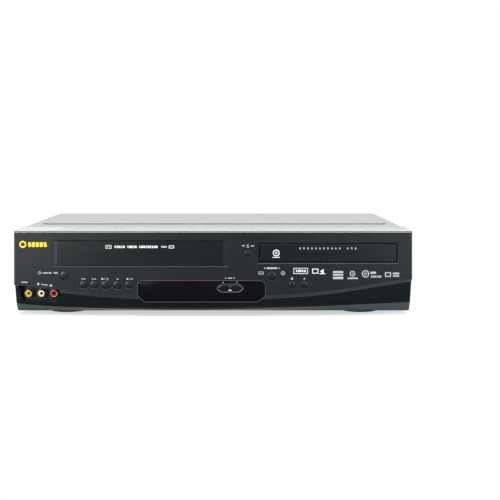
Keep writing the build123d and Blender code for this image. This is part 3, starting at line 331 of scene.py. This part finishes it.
def turned_aluminium():
    """Machined aluminium drum with the rings that the turning tool leaves.

    They are drawn about 4 mm apart, many times as coarse as real ones, so that they show.
    """
    material, tree, shader, place = new_material("turned_aluminium", Metallic=1.0)
    drum_low, drum_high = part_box("upper_drum")
    middle = (Vector(drum_low) + Vector(drum_high)) / 2
    centred = add_node(tree, "ShaderNodeMapping", {"Location": (-middle.x, -middle.y, 0.0)},
                       {"Vector": place})
    rings = add_node(tree, "ShaderNodeTexWave",
                     {"Scale": per_metre(2.0 * WAVE_SHARE), "Distortion": 0.4},
                     {"Vector": centred.outputs[0]}, wave_type="RINGS", rings_direction="Z")
    bump = add_node(tree, "ShaderNodeBump", {"Strength": 0.3, "Distance": 0.02 * MM},
                    {"Height": rings.outputs["Fac"]})
    tree.links.new(bump.outputs[0], shader.inputs["Normal"])
    mottle(tree, shader, place, 15.0, "c3c5c7", "d6d8d9", 0.2, 0.3)
    return material


def sintered_bronze():
    """Oil-filled bronze of the bearings: fine pores, brown-gold."""
    material, tree, shader, place = new_material("sintered_bronze", Metallic=1.0)
    mottle(tree, shader, place, 1.5, "8f6a35", "b08a4a", 0.35, 0.5)
    grain(tree, shader, place, 0.4, 0.03, 0.4)
    return material


def belt_rubber():
    """Ground rubber of the belts and the pinch roller: dead matt."""
    material, tree, shader, place = new_material("belt_rubber", Specular_IOR_Level=0.2)
    mottle(tree, shader, place, 3.0, "101010", "191919", 0.7, 0.85)
    return material


def black_drive_plastic():
    """Glass-filled black plastic of the disc drive: grey flow streaks."""
    material, tree, shader, place = new_material("black_drive_plastic", IOR=1.5)
    mottle(tree, shader, place, 14.0, "17181a", "222426", 0.35, 0.5)
    grain(tree, shader, place, 0.9, 0.02, 0.25)
    return material


def flat_cable_film():
    """White polyester film of the flat cable, with its conductors as faint stripes.

    They are drawn about 2.5 mm apart, twice their real pitch, so that they show.
    """
    material, tree, shader, place = new_material("flat_cable_film", IOR=1.55)
    stripes = add_node(tree, "ShaderNodeTexWave", {"Scale": per_metre(1.25 * WAVE_SHARE)},
                       {"Vector": place}, bands_direction="X")
    blend = add_node(tree, "ShaderNodeMix", {COLOUR_A: linear("b9b7ae"), COLOUR_B: linear("e6e4dc")},
                     {"Factor": stripes.outputs["Fac"]}, data_type="RGBA")
    tree.links.new(blend.outputs[COLOUR_OUT], shader.inputs["Base Color"])
    shader.inputs["Roughness"].default_value = 0.3
    return material


finishes = {
    fine_textured_abs: ["front_panel"],
    satin_abs: ["cassette_door", "tray_front"],
    button_abs: ["channel_down_key", "channel_up_key", "standby_button", "rewind_button",
                 "forward_button", "vcr_stop_button", "vcr_play_button", "record_button",
                 "tray_button", "output_button", "dvd_stop_button", "dvd_play_button"],
    smoked_acrylic: ["display_window"],
    clear_lens: ["indicator_lenses"],
    nickel_plate: ["jack_barrels", "tape_heads"],
    vinyl_laminated_steel: ["top_cover"],
    black_powder_coat: ["rear_panel"],
    zinc_plated_steel: ["base_chassis", "deck_chassis", "carriage_bracket", "cassette_holder",
                        "clamp_bridge", "tuner"],
    black_zinc_screw: ["case_screws"],
    moulded_rubber: ["feet"],
    phenolic_board: ["front_board", "power_board", "signal_boards"],
    display_glass: ["display_tube"],
    drawn_steel: ["door_spring", "guide_rods", "loader_motors", "capstan_rotor", "pinch_arm"],
    natural_acetal: ["carriage_slides", "loader_gear", "motor_pulley", "clutch_pulley",
                     "supply_reel", "take_up_reel", "disc_clamper", "supply_guide", "take_up_guide"],
    turned_aluminium: ["lower_drum", "upper_drum"],
    sintered_bronze: ["deck_bearings"],
    belt_rubber: ["drive_belts", "pinch_roller"],
    black_drive_plastic: ["loader_frame", "disc_tray", "traverse_base", "optical_pickup",
                          "turntable", "rear_sockets", "jack_inserts"],
    flat_cable_film: ["ribbon_cable"],
}
made = {}
for finish, names in finishes.items():
    made[finish] = finish()
    for name in names:
        nodes[name].data.materials.clear()
        nodes[name].data.materials.append(made[finish])

polished_abs = polished_edge_abs()
key_abs = coloured_moulding("gloss_black_abs", "0a0b0e", "0e1013")
ink_white = printed_ink("white_screen_ink", "c9ccca", "dcdedb")
ink_grey = printed_ink("grey_screen_ink", "969a9a", "a9adac")
ink_yellow = printed_ink("yellow_screen_ink", "f2c200", "ffd31a")


# ---- modelling helpers ----

def deselect():
    """Leaves edit mode where it is open, and selects nothing."""
    if bpy.context.mode != "OBJECT":
        bpy.ops.object.mode_set(mode="OBJECT")
    bpy.ops.object.select_all(action="DESELECT")


def only(piece):
    """Selects one piece and makes it the active one."""
    deselect()
    piece.select_set(True)
    bpy.context.view_layer.objects.active = piece


def finish_piece(piece, name, body, slot, *materials, replaced=(), angle=30.0):
    """Names a piece, applies its place, shades it and hands it to its body."""
    only(piece)
    bpy.ops.object.transform_apply(location=True, rotation=True, scale=True)
    bpy.ops.object.mode_set(mode="EDIT")
    bpy.ops.mesh.select_all(action="SELECT")
    bpy.ops.mesh.remove_doubles(threshold=MERGE)
    bpy.ops.mesh.normals_make_consistent(inside=False)
    bpy.ops.object.mode_set(mode="OBJECT")
    bpy.ops.object.shade_smooth_by_angle(angle=math.radians(angle))
    piece.name = name
    piece.data.name = name
    if not piece.data.materials:
        for material in materials:
            piece.data.materials.append(material)
    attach(piece, body)
    if replaced:
        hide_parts(*replaced)
    return piece


def join(pieces):
    """Makes several pieces one, under the first one's name."""
    deselect()
    for piece in pieces:
        piece.select_set(True)
    bpy.context.view_layer.objects.active = pieces[0]
    bpy.ops.object.join()
    return pieces[0]


# ---- pieces modelled one by one ----

def pick(piece, faces=None, edges=None):
    """Selects a piece's faces by centre and normal, or its edges by their two ends, and opens it."""
    only(piece)
    mesh = piece.data
    bpy.ops.object.mode_set(mode="EDIT")
    bpy.ops.mesh.select_mode(type="FACE" if faces else "EDGE")
    bpy.ops.mesh.select_all(action="DESELECT")
    bpy.ops.object.mode_set(mode="OBJECT")
    if faces:
        for face in mesh.polygons:
            face.select = faces(face.center, face.normal)
    else:
        for edge in mesh.edges:
            edge.select = edges(*(mesh.vertices[i].co for i in edge.vertices))
    bpy.ops.object.mode_set(mode="EDIT")


def close_edit():
    """Back to object mode, with the edit kept."""
    bpy.ops.object.mode_set(mode="OBJECT")


def bevel(offset_mm, segments):
    """Bevels the picked edges, or the rims of the picked faces, and closes the piece."""
    bpy.ops.mesh.bevel(offset=offset_mm * MM, segments=segments, affect="EDGES")
    close_edit()


def push_back(depth_mm):
    """Extrudes the picked faces straight back into the player."""
    bpy.ops.mesh.extrude_region_move(TRANSFORM_OT_translate={"value": (0, depth_mm * MM, 0)})


def front_cylinder(x, z, wide, high, front, depth, vertices=64):
    """An upright-faced cylinder that looks towards -Y, sizes in millimetres."""
    deselect()
    bpy.ops.mesh.primitive_cylinder_add(
        vertices=vertices, radius=0.5, depth=depth * MM, end_fill_type="NGON",
        location=(x * MM, FRONT + (front + depth / 2) * MM, z * MM), rotation=(math.radians(90), 0, 0))
    piece = bpy.context.object
    piece.scale = (wide * MM, high * MM, 1.0)
    bpy.ops.object.transform_apply(location=True, rotation=True, scale=True)
    return piece


def faces_front(place, normal):
    """Picks the faces that look forward, before a bevel."""
    return normal.y < -0.95


def flat_front(place, normal):
    """Picks only the flat face inside a bevel."""
    return normal.y < -0.999


FLANGE = 0.8                # a cap's retaining flange stands out this far all round, in millimetres


def moulded_cap(name, x, z, wide, high, size):
    """Push button: rounded rim, low crown, retaining flange and the stem to its switch."""
    face_back, flange_back, flange_thick = 0.5, 2.8, 1.0
    stem_radius, stem_long = 1.5, 8.6
    piece = front_cylinder(x, z, wide, high, face_back, flange_back - face_back)
    pick(piece, faces=faces_front)
    bevel(0.45, 4)
    pick(piece, faces=flat_front)
    for inset, rise in ((0.5, 0.2), (0.7, 0.16), (0.9, 0.08)):
        bpy.ops.mesh.inset(thickness=inset * MM * size, depth=rise * MM * size)
    close_edit()
    pick(piece, faces=lambda place, normal: normal.y > 0.999)
    push_back(0)
    grow = 1 + 2 * FLANGE / wide
    bpy.ops.transform.resize(value=(grow, 1, grow), center_override=(x * MM, 0, z * MM))
    push_back(flange_thick)
    bpy.ops.mesh.inset(thickness=(min(wide, high) / 2 + FLANGE - stem_radius) * MM)
    push_back(stem_long)
    close_edit()
    return finish_piece(piece, name + "_cap", name, "button_plastic", made[button_abs],
                        replaced=(name,), angle=40)


for name, size in {
    "standby_button": 1.0, "output_button": 1.0, "tray_button": 0.8, "dvd_stop_button": 0.9,
    "dvd_play_button": 0.9, "rewind_button": 0.9, "forward_button": 0.9, "vcr_stop_button": 1.0,
    "vcr_play_button": 1.0, "record_button": 0.9,
}.items():
    low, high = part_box(name)
    moulded_cap(name, (low[0] + high[0]) / 2 / MM, (low[2] + high[2]) / 2 / MM,
                (high[0] - low[0]) / MM - 2 * FLANGE, (high[2] - low[2]) / MM - 2 * FLANGE, size)


def jack_sleeve(x, z):
    """Plated sleeve of a phono jack, with a rolled front lip."""
    across, lip_back, long, wall, bore_deep = 8.0, 7.0, 10.1, 0.85, 9.6
    piece = front_cylinder(x, z, across, across, lip_back, long)
    pick(piece, faces=faces_front)
    bpy.ops.mesh.inset(thickness=wall * MM)
    push_back(bore_deep)
    close_edit()
    lip = FRONT + lip_back * MM
    pick(piece, edges=lambda a, b: abs(a.y - lip) < NEAR and abs(b.y - lip) < NEAR)
    bevel(0.25, 3)
    return piece


def jack_insulator(x, z, colour):
    """Coloured moulding in a jack: rounded lip, funnel and the deep hole for the plug's pin."""
    across, lip_back, long = 6.2, 7.35, 9.0
    lip_wide, funnel_wide, funnel_deep, hole_deep = 0.3, 1.1, 1.5, 6.0
    hole_reach, hole_back = 1.7, 9.2
    piece = front_cylinder(x, z, across, across, lip_back, long)
    pick(piece, faces=faces_front)
    bevel(0.2, 3)
    pick(piece, faces=flat_front)
    bpy.ops.mesh.inset(thickness=lip_wide * MM)
    bpy.ops.mesh.inset(thickness=funnel_wide * MM, depth=-funnel_deep * MM)
    push_back(hole_deep)
    close_edit()
    piece.data.materials.append(colour)
    piece.data.materials.append(made[black_drive_plastic])
    for face in piece.data.polygons:
        radial = math.hypot(face.center.x - x * MM, face.center.z - z * MM)
        if radial < hole_reach * MM and face.center.y > FRONT + hole_back * MM:
            face.material_index = 1
    return piece


yellow = coloured_moulding("yellow_jack_abs", "e8b10c", "f2c024")
cream = coloured_moulding("cream_jack_abs", "e6dcae", "efe7c4")
red = coloured_moulding("red_jack_abs", "b3141c", "c92027")
JACK_Z = 24.6                           # the front jacks' height and places, in millimetres
jack_x = [-203.6, -189.6, -175.6]
sleeves = join([jack_sleeve(x, JACK_Z) for x in jack_x])
finish_piece(sleeves, "front_jack_sleeves", "case", "jack_plating", made[nickel_plate],
             replaced=("jack_barrels",))
insulators = join([jack_insulator(x, JACK_Z, colour)
                   for x, colour in zip(jack_x, (yellow, cream, red))])
finish_piece(insulators, "front_jack_insulators", "case", "jack_colours", replaced=("jack_inserts",))


def softened(name, new_name, body, slot, bevel_mm, finish, rim):
    """A CAD piece with the rim of its front face bevelled, and the bevel in a finish of its own."""
    piece = bpy.data.objects.new(new_name, nodes[name].data.copy())
    bpy.context.scene.collection.objects.link(piece)
    piece.data.materials.clear()
    piece.data.materials.append(finish)
    piece.data.materials.append(rim)
    only(piece)
    bpy.ops.object.mode_set(mode="EDIT")
    bpy.ops.mesh.select_all(action="SELECT")
    bpy.ops.mesh.remove_doubles(threshold=MERGE)
    bpy.ops.mesh.dissolve_limited(angle_limit=math.radians(0.5))
    close_edit()
    face_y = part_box(name)[0].y + NEAR
    pick(piece, edges=lambda a, b: a.y < face_y and b.y < face_y)
    bevel(bevel_mm, 2)
    for face in piece.data.polygons:
        slanted = -0.97 < face.normal.y < -0.2
        face.material_index = int(slanted and face.center.y < face_y + bevel_mm * MM)
    return finish_piece(piece, new_name, body, slot, replaced=(name,), angle=20)


# The lens rim's pale colour is a painted highlight on its bevel.
softened("display_window", "window_lens", "case", "smoked_lens", 0.8,
         made[smoked_acrylic], painted_highlight_lens_rim())
for key in ("channel_down_key", "channel_up_key"):
    softened(key, key + "_cap", key, "button_plastic", 0.45, key_abs, polished_abs)


def edge_bead():
    """Polished bead along the front panel's top edge, whose flat face looks up and forward."""
    end_gap, flat_wide, thick = 1.0, 1.4, 0.9
    tilt, back, drop = 53.0, 0.33, 2.58     # its turn in degrees, and its middle from face and top
    deselect()
    bpy.ops.mesh.primitive_cube_add(size=1.0, location=(0, 0, 0))
    piece = bpy.context.object
    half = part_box("front_panel")[1].x - end_gap * MM
    piece.scale = (2 * half, flat_wide * MM, thick * MM)
    bpy.ops.object.transform_apply(location=True, rotation=True, scale=True)
    pick(piece, faces=lambda place, normal: normal.z > 0.9)
    bevel(0.12, 3)
    piece.rotation_euler = (math.radians(tilt), 0, 0)
    piece.location = (0, FRONT + back * MM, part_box("front_panel")[1].z - drop * MM)
    return finish_piece(piece, "front_edge_bead", "case", "front_plastic", polished_abs)


edge_bead()


def jack_ring(x, y, z, outer, finish):
    """A flat ring round a jack's sleeve, with a bevelled rim."""
    thick, rim, bore = 0.9, 0.2, 4.15       # bore is a radius, as outer is
    deselect()
    bpy.ops.mesh.primitive_cylinder_add(
        vertices=48, radius=outer * MM, depth=thick * MM, end_fill_type="NGON",
        location=(x * MM, y, z * MM), rotation=(math.radians(90), 0, 0))
    piece = bpy.context.object
    bpy.ops.object.transform_apply(location=True, rotation=True, scale=True)
    pick(piece, faces=lambda place, normal: abs(normal.y) > 0.9)
    bevel(rim, 2)
    pick(piece, faces=lambda place, normal: abs(normal.y) > 0.999)
    bpy.ops.mesh.inset(thickness=(outer - (bore + rim)) * MM)
    bpy.ops.mesh.bridge_edge_loops()
    close_edit()
    piece.data.materials.append(finish)
    return piece


rear_x, rear_z = (-34.0, -20.0, -6.0), (26.0, 44.0)     # the rear sockets, in millimetres
rear_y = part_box("rear_panel")[1].y + 0.5 * MM
washers = [jack_ring(x, rear_y, z, 6.4, colour)
           for x, colour in zip(rear_x, (yellow, cream, red)) for z in rear_z]
finish_piece(join(washers), "rear_jack_washers", "case", "jack_colours")
collar_y = FRONT + 14.6 * MM            # against the floor of the jack recess
collars = [jack_ring(x, collar_y, JACK_Z, 6.0, made[black_drive_plastic]) for x in jack_x]
finish_piece(join(collars), "front_jack_collars", "case", "front_plastic")


# ---- printed marks: places and sizes in millimetres, from the middle of the width and the floor ----

INK = 0.03                  # thickness of the ink
PRINT_PROUD = 0.02          # how much of it stands above the face


def stamp(x, z, wide, high, corners=4, turn=0.0, hollow=0.0, back=0.0):
    """One printed shape on a face that is back behind the front: a bar, disc, triangle or frame."""
    deselect()
    bpy.ops.mesh.primitive_circle_add(
        vertices=corners, radius=1.0, fill_type="NGON", location=(0, 0, 0), rotation=(0, 0, 0))
    piece = bpy.context.object
    start = math.radians(45.0 if corners == 4 else 0.0)
    piece.data.transform(Matrix.Rotation(start, 4, "Z"))
    reach = [max(abs(v.co[i]) for v in piece.data.vertices) for i in (0, 1)]
    piece.data.transform(Matrix.Diagonal((wide / 2 / reach[0] * MM, high / 2 / reach[1] * MM, 1, 1)))
    only(piece)
    bpy.ops.object.mode_set(mode="EDIT")
    bpy.ops.mesh.select_all(action="SELECT")
    if hollow:
        bpy.ops.mesh.select_mode(type="FACE")
        bpy.ops.mesh.inset(thickness=hollow * MM)
        bpy.ops.mesh.delete(type="FACE")
        bpy.ops.mesh.select_all(action="SELECT")
    bpy.ops.mesh.extrude_region_move(TRANSFORM_OT_translate={"value": (0, 0, INK * MM)})
    close_edit()
    piece.rotation_euler = (math.radians(90), 0, 0)
    bpy.ops.object.transform_apply(location=False, rotation=True, scale=False)
    piece.rotation_euler = (0, math.radians(-turn), 0)
    bpy.ops.object.transform_apply(location=False, rotation=True, scale=False)
    piece.location = (x * MM, FRONT + (back + INK - PRINT_PROUD) * MM, z * MM)
    bpy.ops.object.transform_apply(location=True, rotation=False, scale=False)
    return piece


def bar(x0, x1, z, high, **more):
    """A stroke from one side to the other, z at its middle."""
    return stamp((x0 + x1) / 2, z, x1 - x0, high, **more)


def ticks(x0, x1, z, high, pitch, turn=12.0, **more):
    """A row of short slanted strokes, where a real front has a line of print."""
    count = max(2, round((x1 - x0) / pitch))
    step = (x1 - x0) / count
    return [stamp(x0 + step * (i + 0.5), z, step * (0.72 if i % 3 else 0.5), high, turn=turn, **more)
            for i in range(count)]


def arrow(x, z, size, direction, **more):
    """A solid triangle that points right at 0, up at 90 and left at 180."""
    return stamp(x, z, size, size, corners=3, turn=direction, **more)


def disc_symbol(x, z, size, **more):
    """A ring with a smaller ring in it."""
    return [stamp(x, z, size, size, corners=32, hollow=size * 0.14, **more),
            stamp(x, z, size * 0.36, size * 0.36, corners=24, hollow=size * 0.09, **more)]


def cassette_symbol(x, z, wide, **more):
    """A frame with two reels in it."""
    high = wide * 0.58
    return [stamp(x, z, wide, high, hollow=wide * 0.07, **more),
            stamp(x - wide * 0.2, z, wide * 0.2, wide * 0.2, corners=16, **more),
            stamp(x + wide * 0.2, z, wide * 0.2, wide * 0.2, corners=16, **more)]


def print_on(name, shapes, body="case", slot="front_plastic", ink=None):
    """Makes the shapes one print on a body, in white ink where no other is named."""
    return finish_piece(join(shapes), name, body, slot, ink or ink_white)


print_on("badge_bars",
         [stamp(-208.0, 79.6, 7.6, 7.6, corners=40, hollow=1.5)]
         + [bar(-202.0 + 4.2 * i, -198.9 + 4.2 * i, 79.4, 5.0, turn=10.0) for i in range(5)],
         ink=ink_yellow)
door_z = 76.9
door_words = [(-108.2, -96.4, 2.6, 2.3), (-94.2, -83.4, 2.6, 2.2),
              (-81.4, -60.4, 2.6, 2.4), (-57.0, -50.4, 1.6, 1.5)]
print_on("door_print",
         cassette_symbol(-114.4, door_z, 6.6, back=SETBACK)
         + [tick for x0, x1, high, pitch in door_words
            for tick in ticks(x0, x1, door_z, high, pitch, back=SETBACK)]
         + [bar(-48.4, -42.8, 76.8, 3.2, back=SETBACK, hollow=0.7)],
         body="cassette_door", slot="door_plastic")
print_on("tray_print",
         disc_symbol(69.0, 70.2, 7.4, back=SETBACK) + [bar(65.0, 73.0, 65.4, 0.8, back=SETBACK)],
         body="disc_tray", slot="door_plastic")
line_x, line_pitch, line_marks, line_gap = 95.0, 4.35, 15, 11
print_on("tray_line",
         [stamp(line_x + line_pitch * i, 75.2, 1.3, 2.0, back=SETBACK, turn=12.0)
          for i in range(line_marks) if i != line_gap],
         body="disc_tray", slot="door_plastic", ink=ink_grey)
print_on("eject_print",
         [arrow(38.0, 78.6, 2.6, 90), bar(36.5, 39.5, 76.6, 0.7)]
         + [bar(x0, x0 + 3.2, 78.0, 1.1) for x0 in (31.4, 41.4)], ink=ink_grey)
output_z, source_z = 53.6, 48.2
print_on("output_print",
         [bar(58.6, 69.9, output_z, 1.8), arrow(56.6, output_z, 2.2, 180),
          arrow(71.8, output_z, 2.2, 0)]
         + cassette_symbol(52.4, source_z, 5.6) + disc_symbol(76.4, source_z, 4.4), ink=ink_grey)
print_on("format_marks",
         [bar(87.8, 103.6, 50.6, 6.4, hollow=0.6)]
         + ticks(90.0, 101.6, 50.6, 2.6, 2.2)
         + [bar(108.2, 115.0, 50.4, 5.4, hollow=0.9), arrow(119.4, 50.2, 5.2, 90),
            bar(116.4, 122.6, 47.6, 1.0)])
print_on("disc_marks",
         [bar(131.0, 142.2, z, high) for z, high in ((49.4, 2.2), (46.4, 2.0), (43.0, 2.6))]
         + disc_symbol(152.4, 47.6, 6.2) + [bar(146.8, 158.2, 42.6, 1.6)]
         + disc_symbol(166.6, 47.4, 8.0) + [bar(172.0, 178.0, 48.6, 2.4)]
         + ticks(172.0, 184.2, 44.4, 2.4, 2.2, turn=0.0)
         + [bar(187.8, 194.4, 46.6, 5.2, hollow=1.1), bar(196.4, 203.4, 47.8, 2.0),
            bar(196.4, 203.4, 45.0, 1.4)], ink=ink_grey)
transport_z = 41.9
print_on("transport_print",
         [arrow(-143.0, transport_z, 2.2, 180), arrow(-140.6, transport_z, 2.2, 180),
          arrow(-131.4, transport_z, 2.2, 0), arrow(-129.0, transport_z, 2.2, 0),
          stamp(-121.0, transport_z, 2.0, 2.0), bar(-118.6, -118.1, transport_z, 2.2, turn=20.0),
          arrow(-115.4, transport_z + 0.4, 1.9, 90), bar(-116.5, -114.3, transport_z - 1.0, 0.5),
          arrow(-104.4, transport_z, 2.4, 0), stamp(-93.8, transport_z, 2.1, 2.1, corners=20),
          bar(-91.4, -91.0, transport_z, 2.2, turn=20.0),
          stamp(-88.8, transport_z, 2.1, 2.1, corners=20, hollow=0.4)]
         + [stamp(86.2, 42.2, 2.3, 2.3), arrow(99.8, 42.2, 2.5, 0)], ink=ink_grey)
channel_z = 42.7
print_on("channel_print",
         [arrow(13.6, channel_z, 1.9, 270), bar(16.2, 20.8, channel_z, 1.1),
          arrow(23.2, channel_z, 1.9, 90)], ink=ink_grey)
standby_z = 48.4
print_on("standby_print",
         [stamp(-189.8, standby_z, 3.2, 3.2, corners=28, hollow=0.5),
          bar(-190.05, -189.55, 49.6, 1.5), bar(-187.6, -187.2, standby_z, 2.0, turn=20.0)]
         + ticks(-186.2, -176.6, standby_z, 1.7, 1.5) + ticks(-174.8, -169.6, standby_z, 1.7, 1.6),
         ink=ink_grey)
print_on("jack_print", [bar(-209.6, -202.6, 38.3, 1.1, turn=-3.0),
                        stamp(-191.2, 36.3, 2.6, 2.6, corners=24),
                        stamp(-177.2, 34.6, 2.6, 2.6, corners=24),
                        bar(-187.8, -180.6, 35.5, 1.0, turn=-6.0)], ink=ink_grey)
print_on("rocker_print", [stamp(18.5, 29.4, 3.0, 0.9), arrow(11.0, 38.0, 1.1, 270),
                          arrow(26.0, 38.0, 1.1, 90)], slot="smoked_lens")


# ---- stage, camera and light ----

def studio_world():
    """White all round for the camera and for reflections, softer for the light that it gives."""
    world = bpy.data.worlds.new("studio")
    bpy.context.scene.world = world
    world.use_nodes = True
    tree = world.node_tree
    tree.nodes.clear()
    path = add_node(tree, "ShaderNodeLightPath")
    seen = add_node(tree, "ShaderNodeMath", links={0: path.outputs["Is Camera Ray"],
                                                   1: path.outputs["Is Glossy Ray"]},
                    operation="MAXIMUM")
    seen = add_node(tree, "ShaderNodeMath", links={0: seen.outputs[0],
                                                   1: path.outputs["Is Transmission Ray"]},
                    operation="MAXIMUM")
    strength = add_node(tree, "ShaderNodeMapRange", {"To Min": 0.7, "To Max": 1.0},
                        {"Value": seen.outputs[0]})
    background = add_node(tree, "ShaderNodeBackground", {"Color": (1, 1, 1, 1)},
                          {"Strength": strength.outputs[0]})
    add_node(tree, "ShaderNodeOutputWorld", links={"Surface": background.outputs[0]})


def pale_floor():
    """Sheet of white paper that keeps the contact shadow and fades to pure white further out."""
    deselect()
    bpy.ops.mesh.primitive_plane_add(size=40.0, location=(0, 0, 0))
    floor = bpy.context.object
    floor.name = "floor"
    material = bpy.data.materials.new("floor_paper")
    material.use_nodes = True
    tree = material.node_tree
    tree.nodes.clear()
    paper = add_node(tree, "ShaderNodeBsdfDiffuse", {"Color": (0.93, 0.93, 0.93, 1)})
    glow = add_node(tree, "ShaderNodeEmission", {"Color": (1, 1, 1, 1), "Strength": 1.0})
    path = add_node(tree, "ShaderNodeLightPath")
    seen = add_node(tree, "ShaderNodeMath", links={0: path.outputs["Is Camera Ray"],
                                                   1: path.outputs["Is Glossy Ray"]},
                    operation="MAXIMUM")
    place = add_node(tree, "ShaderNodeTexCoord")
    oval = add_node(tree, "ShaderNodeMapping", {"Scale": (1.0, 1.6, 1.0)},
                    {"Vector": place.outputs["Object"]})
    reach = add_node(tree, "ShaderNodeVectorMath", links={0: oval.outputs[0]}, operation="LENGTH")
    fade = add_node(tree, "ShaderNodeMapRange",
                    {"From Min": 0.2, "From Max": 0.34, "To Min": 0.55, "To Max": 1.0},
                    {"Value": reach.outputs["Value"]}, interpolation_type="SMOOTHSTEP")
    share = add_node(tree, "ShaderNodeMath", links={0: seen.outputs[0], 1: fade.outputs[0]},
                     operation="MULTIPLY")
    both = add_node(tree, "ShaderNodeMixShader", links={0: share.outputs[0], 1: paper.outputs[0],
                                                       2: glow.outputs[0]})
    add_node(tree, "ShaderNodeOutputMaterial", links={"Surface": both.outputs[0]})
    floor.data.materials.append(material)


def black_card(name, place, size, tilt):
    """Black card that only reflections see, and that keeps the front's middle dark."""
    deselect()
    bpy.ops.mesh.primitive_plane_add(size=1.0, location=place, rotation=(math.radians(tilt), 0, 0))
    card = bpy.context.object
    card.name = name
    card.scale = (*size, 1.0)
    card.visible_camera = False
    card.visible_diffuse = False
    card.visible_shadow = False
    card.visible_transmission = False
    cloth = bpy.data.materials.new(name + "_cloth")
    cloth.use_nodes = True
    shader = cloth.node_tree.nodes["Principled BSDF"]
    shader.inputs["Base Color"].default_value = linear("1a1a1a")
    shader.inputs["Roughness"].default_value = 0.9
    card.data.materials.append(cloth)


def softbox(name, place, target, size, power):
    """A rectangular lamp that points at its target: metres and watts."""
    light = bpy.data.lights.new(name, "AREA")
    light.shape = "RECTANGLE"
    light.size, light.size_y = size
    light.energy = power
    lamp = bpy.data.objects.new(name, light)
    bpy.context.scene.collection.objects.link(lamp)
    lamp.location = place
    aim = Vector(target) - Vector(place)
    lamp.rotation_euler = aim.to_track_quat("-Z", "Y").to_euler()
    return lamp


def level_camera():
    """Level view camera: the photograph keeps upright lines upright, so the lens is shifted."""
    lens = bpy.data.cameras.new("photo_camera")
    lens.sensor_width = 36.0
    lens.lens = 58.5
    lens.shift_x = 0.039
    lens.shift_y = -0.205
    lens.dof.use_dof = False
    camera = bpy.data.objects.new("photo_camera", lens)
    bpy.context.scene.collection.objects.link(camera)
    camera.location = (0.019, -1.0065, 0.1855)
    camera.rotation_euler = (math.radians(90.0), 0, 0)
    bpy.context.scene.camera = camera


studio_world()
pale_floor()
black_card("floor_card", (0, -1.062, 0.002), (0.52, 1.9), 0.0)
black_card("upright_card", (0.05, -1.5, 0.2), (0.7, 0.4), 90.0)
softbox("overhead_strip", (0.0, -0.12, 1.2), (0, -0.12, 0), (1.8, 0.16), 9.0)
softbox("edge_strip", (0.0, -0.57, 1.2), (0, -0.12, 0.09), (1.8, 0.1), 13.0)
softbox("back_softbox", (0.0, 1.6, 0.9), (0, 0, 0.05), (3.0, 1.0), 21.0)
softbox("left_softbox", (-0.8, -1.3, 0.35), (-0.2, -0.1, 0.05), (0.5, 0.9), 8.0)
softbox("right_softbox", (0.85, -1.3, 0.35), (0.2, -0.1, 0.05), (0.4, 0.9), 3.0)
level_camera()
bpy.context.scene.view_settings.view_transform = "Standard"
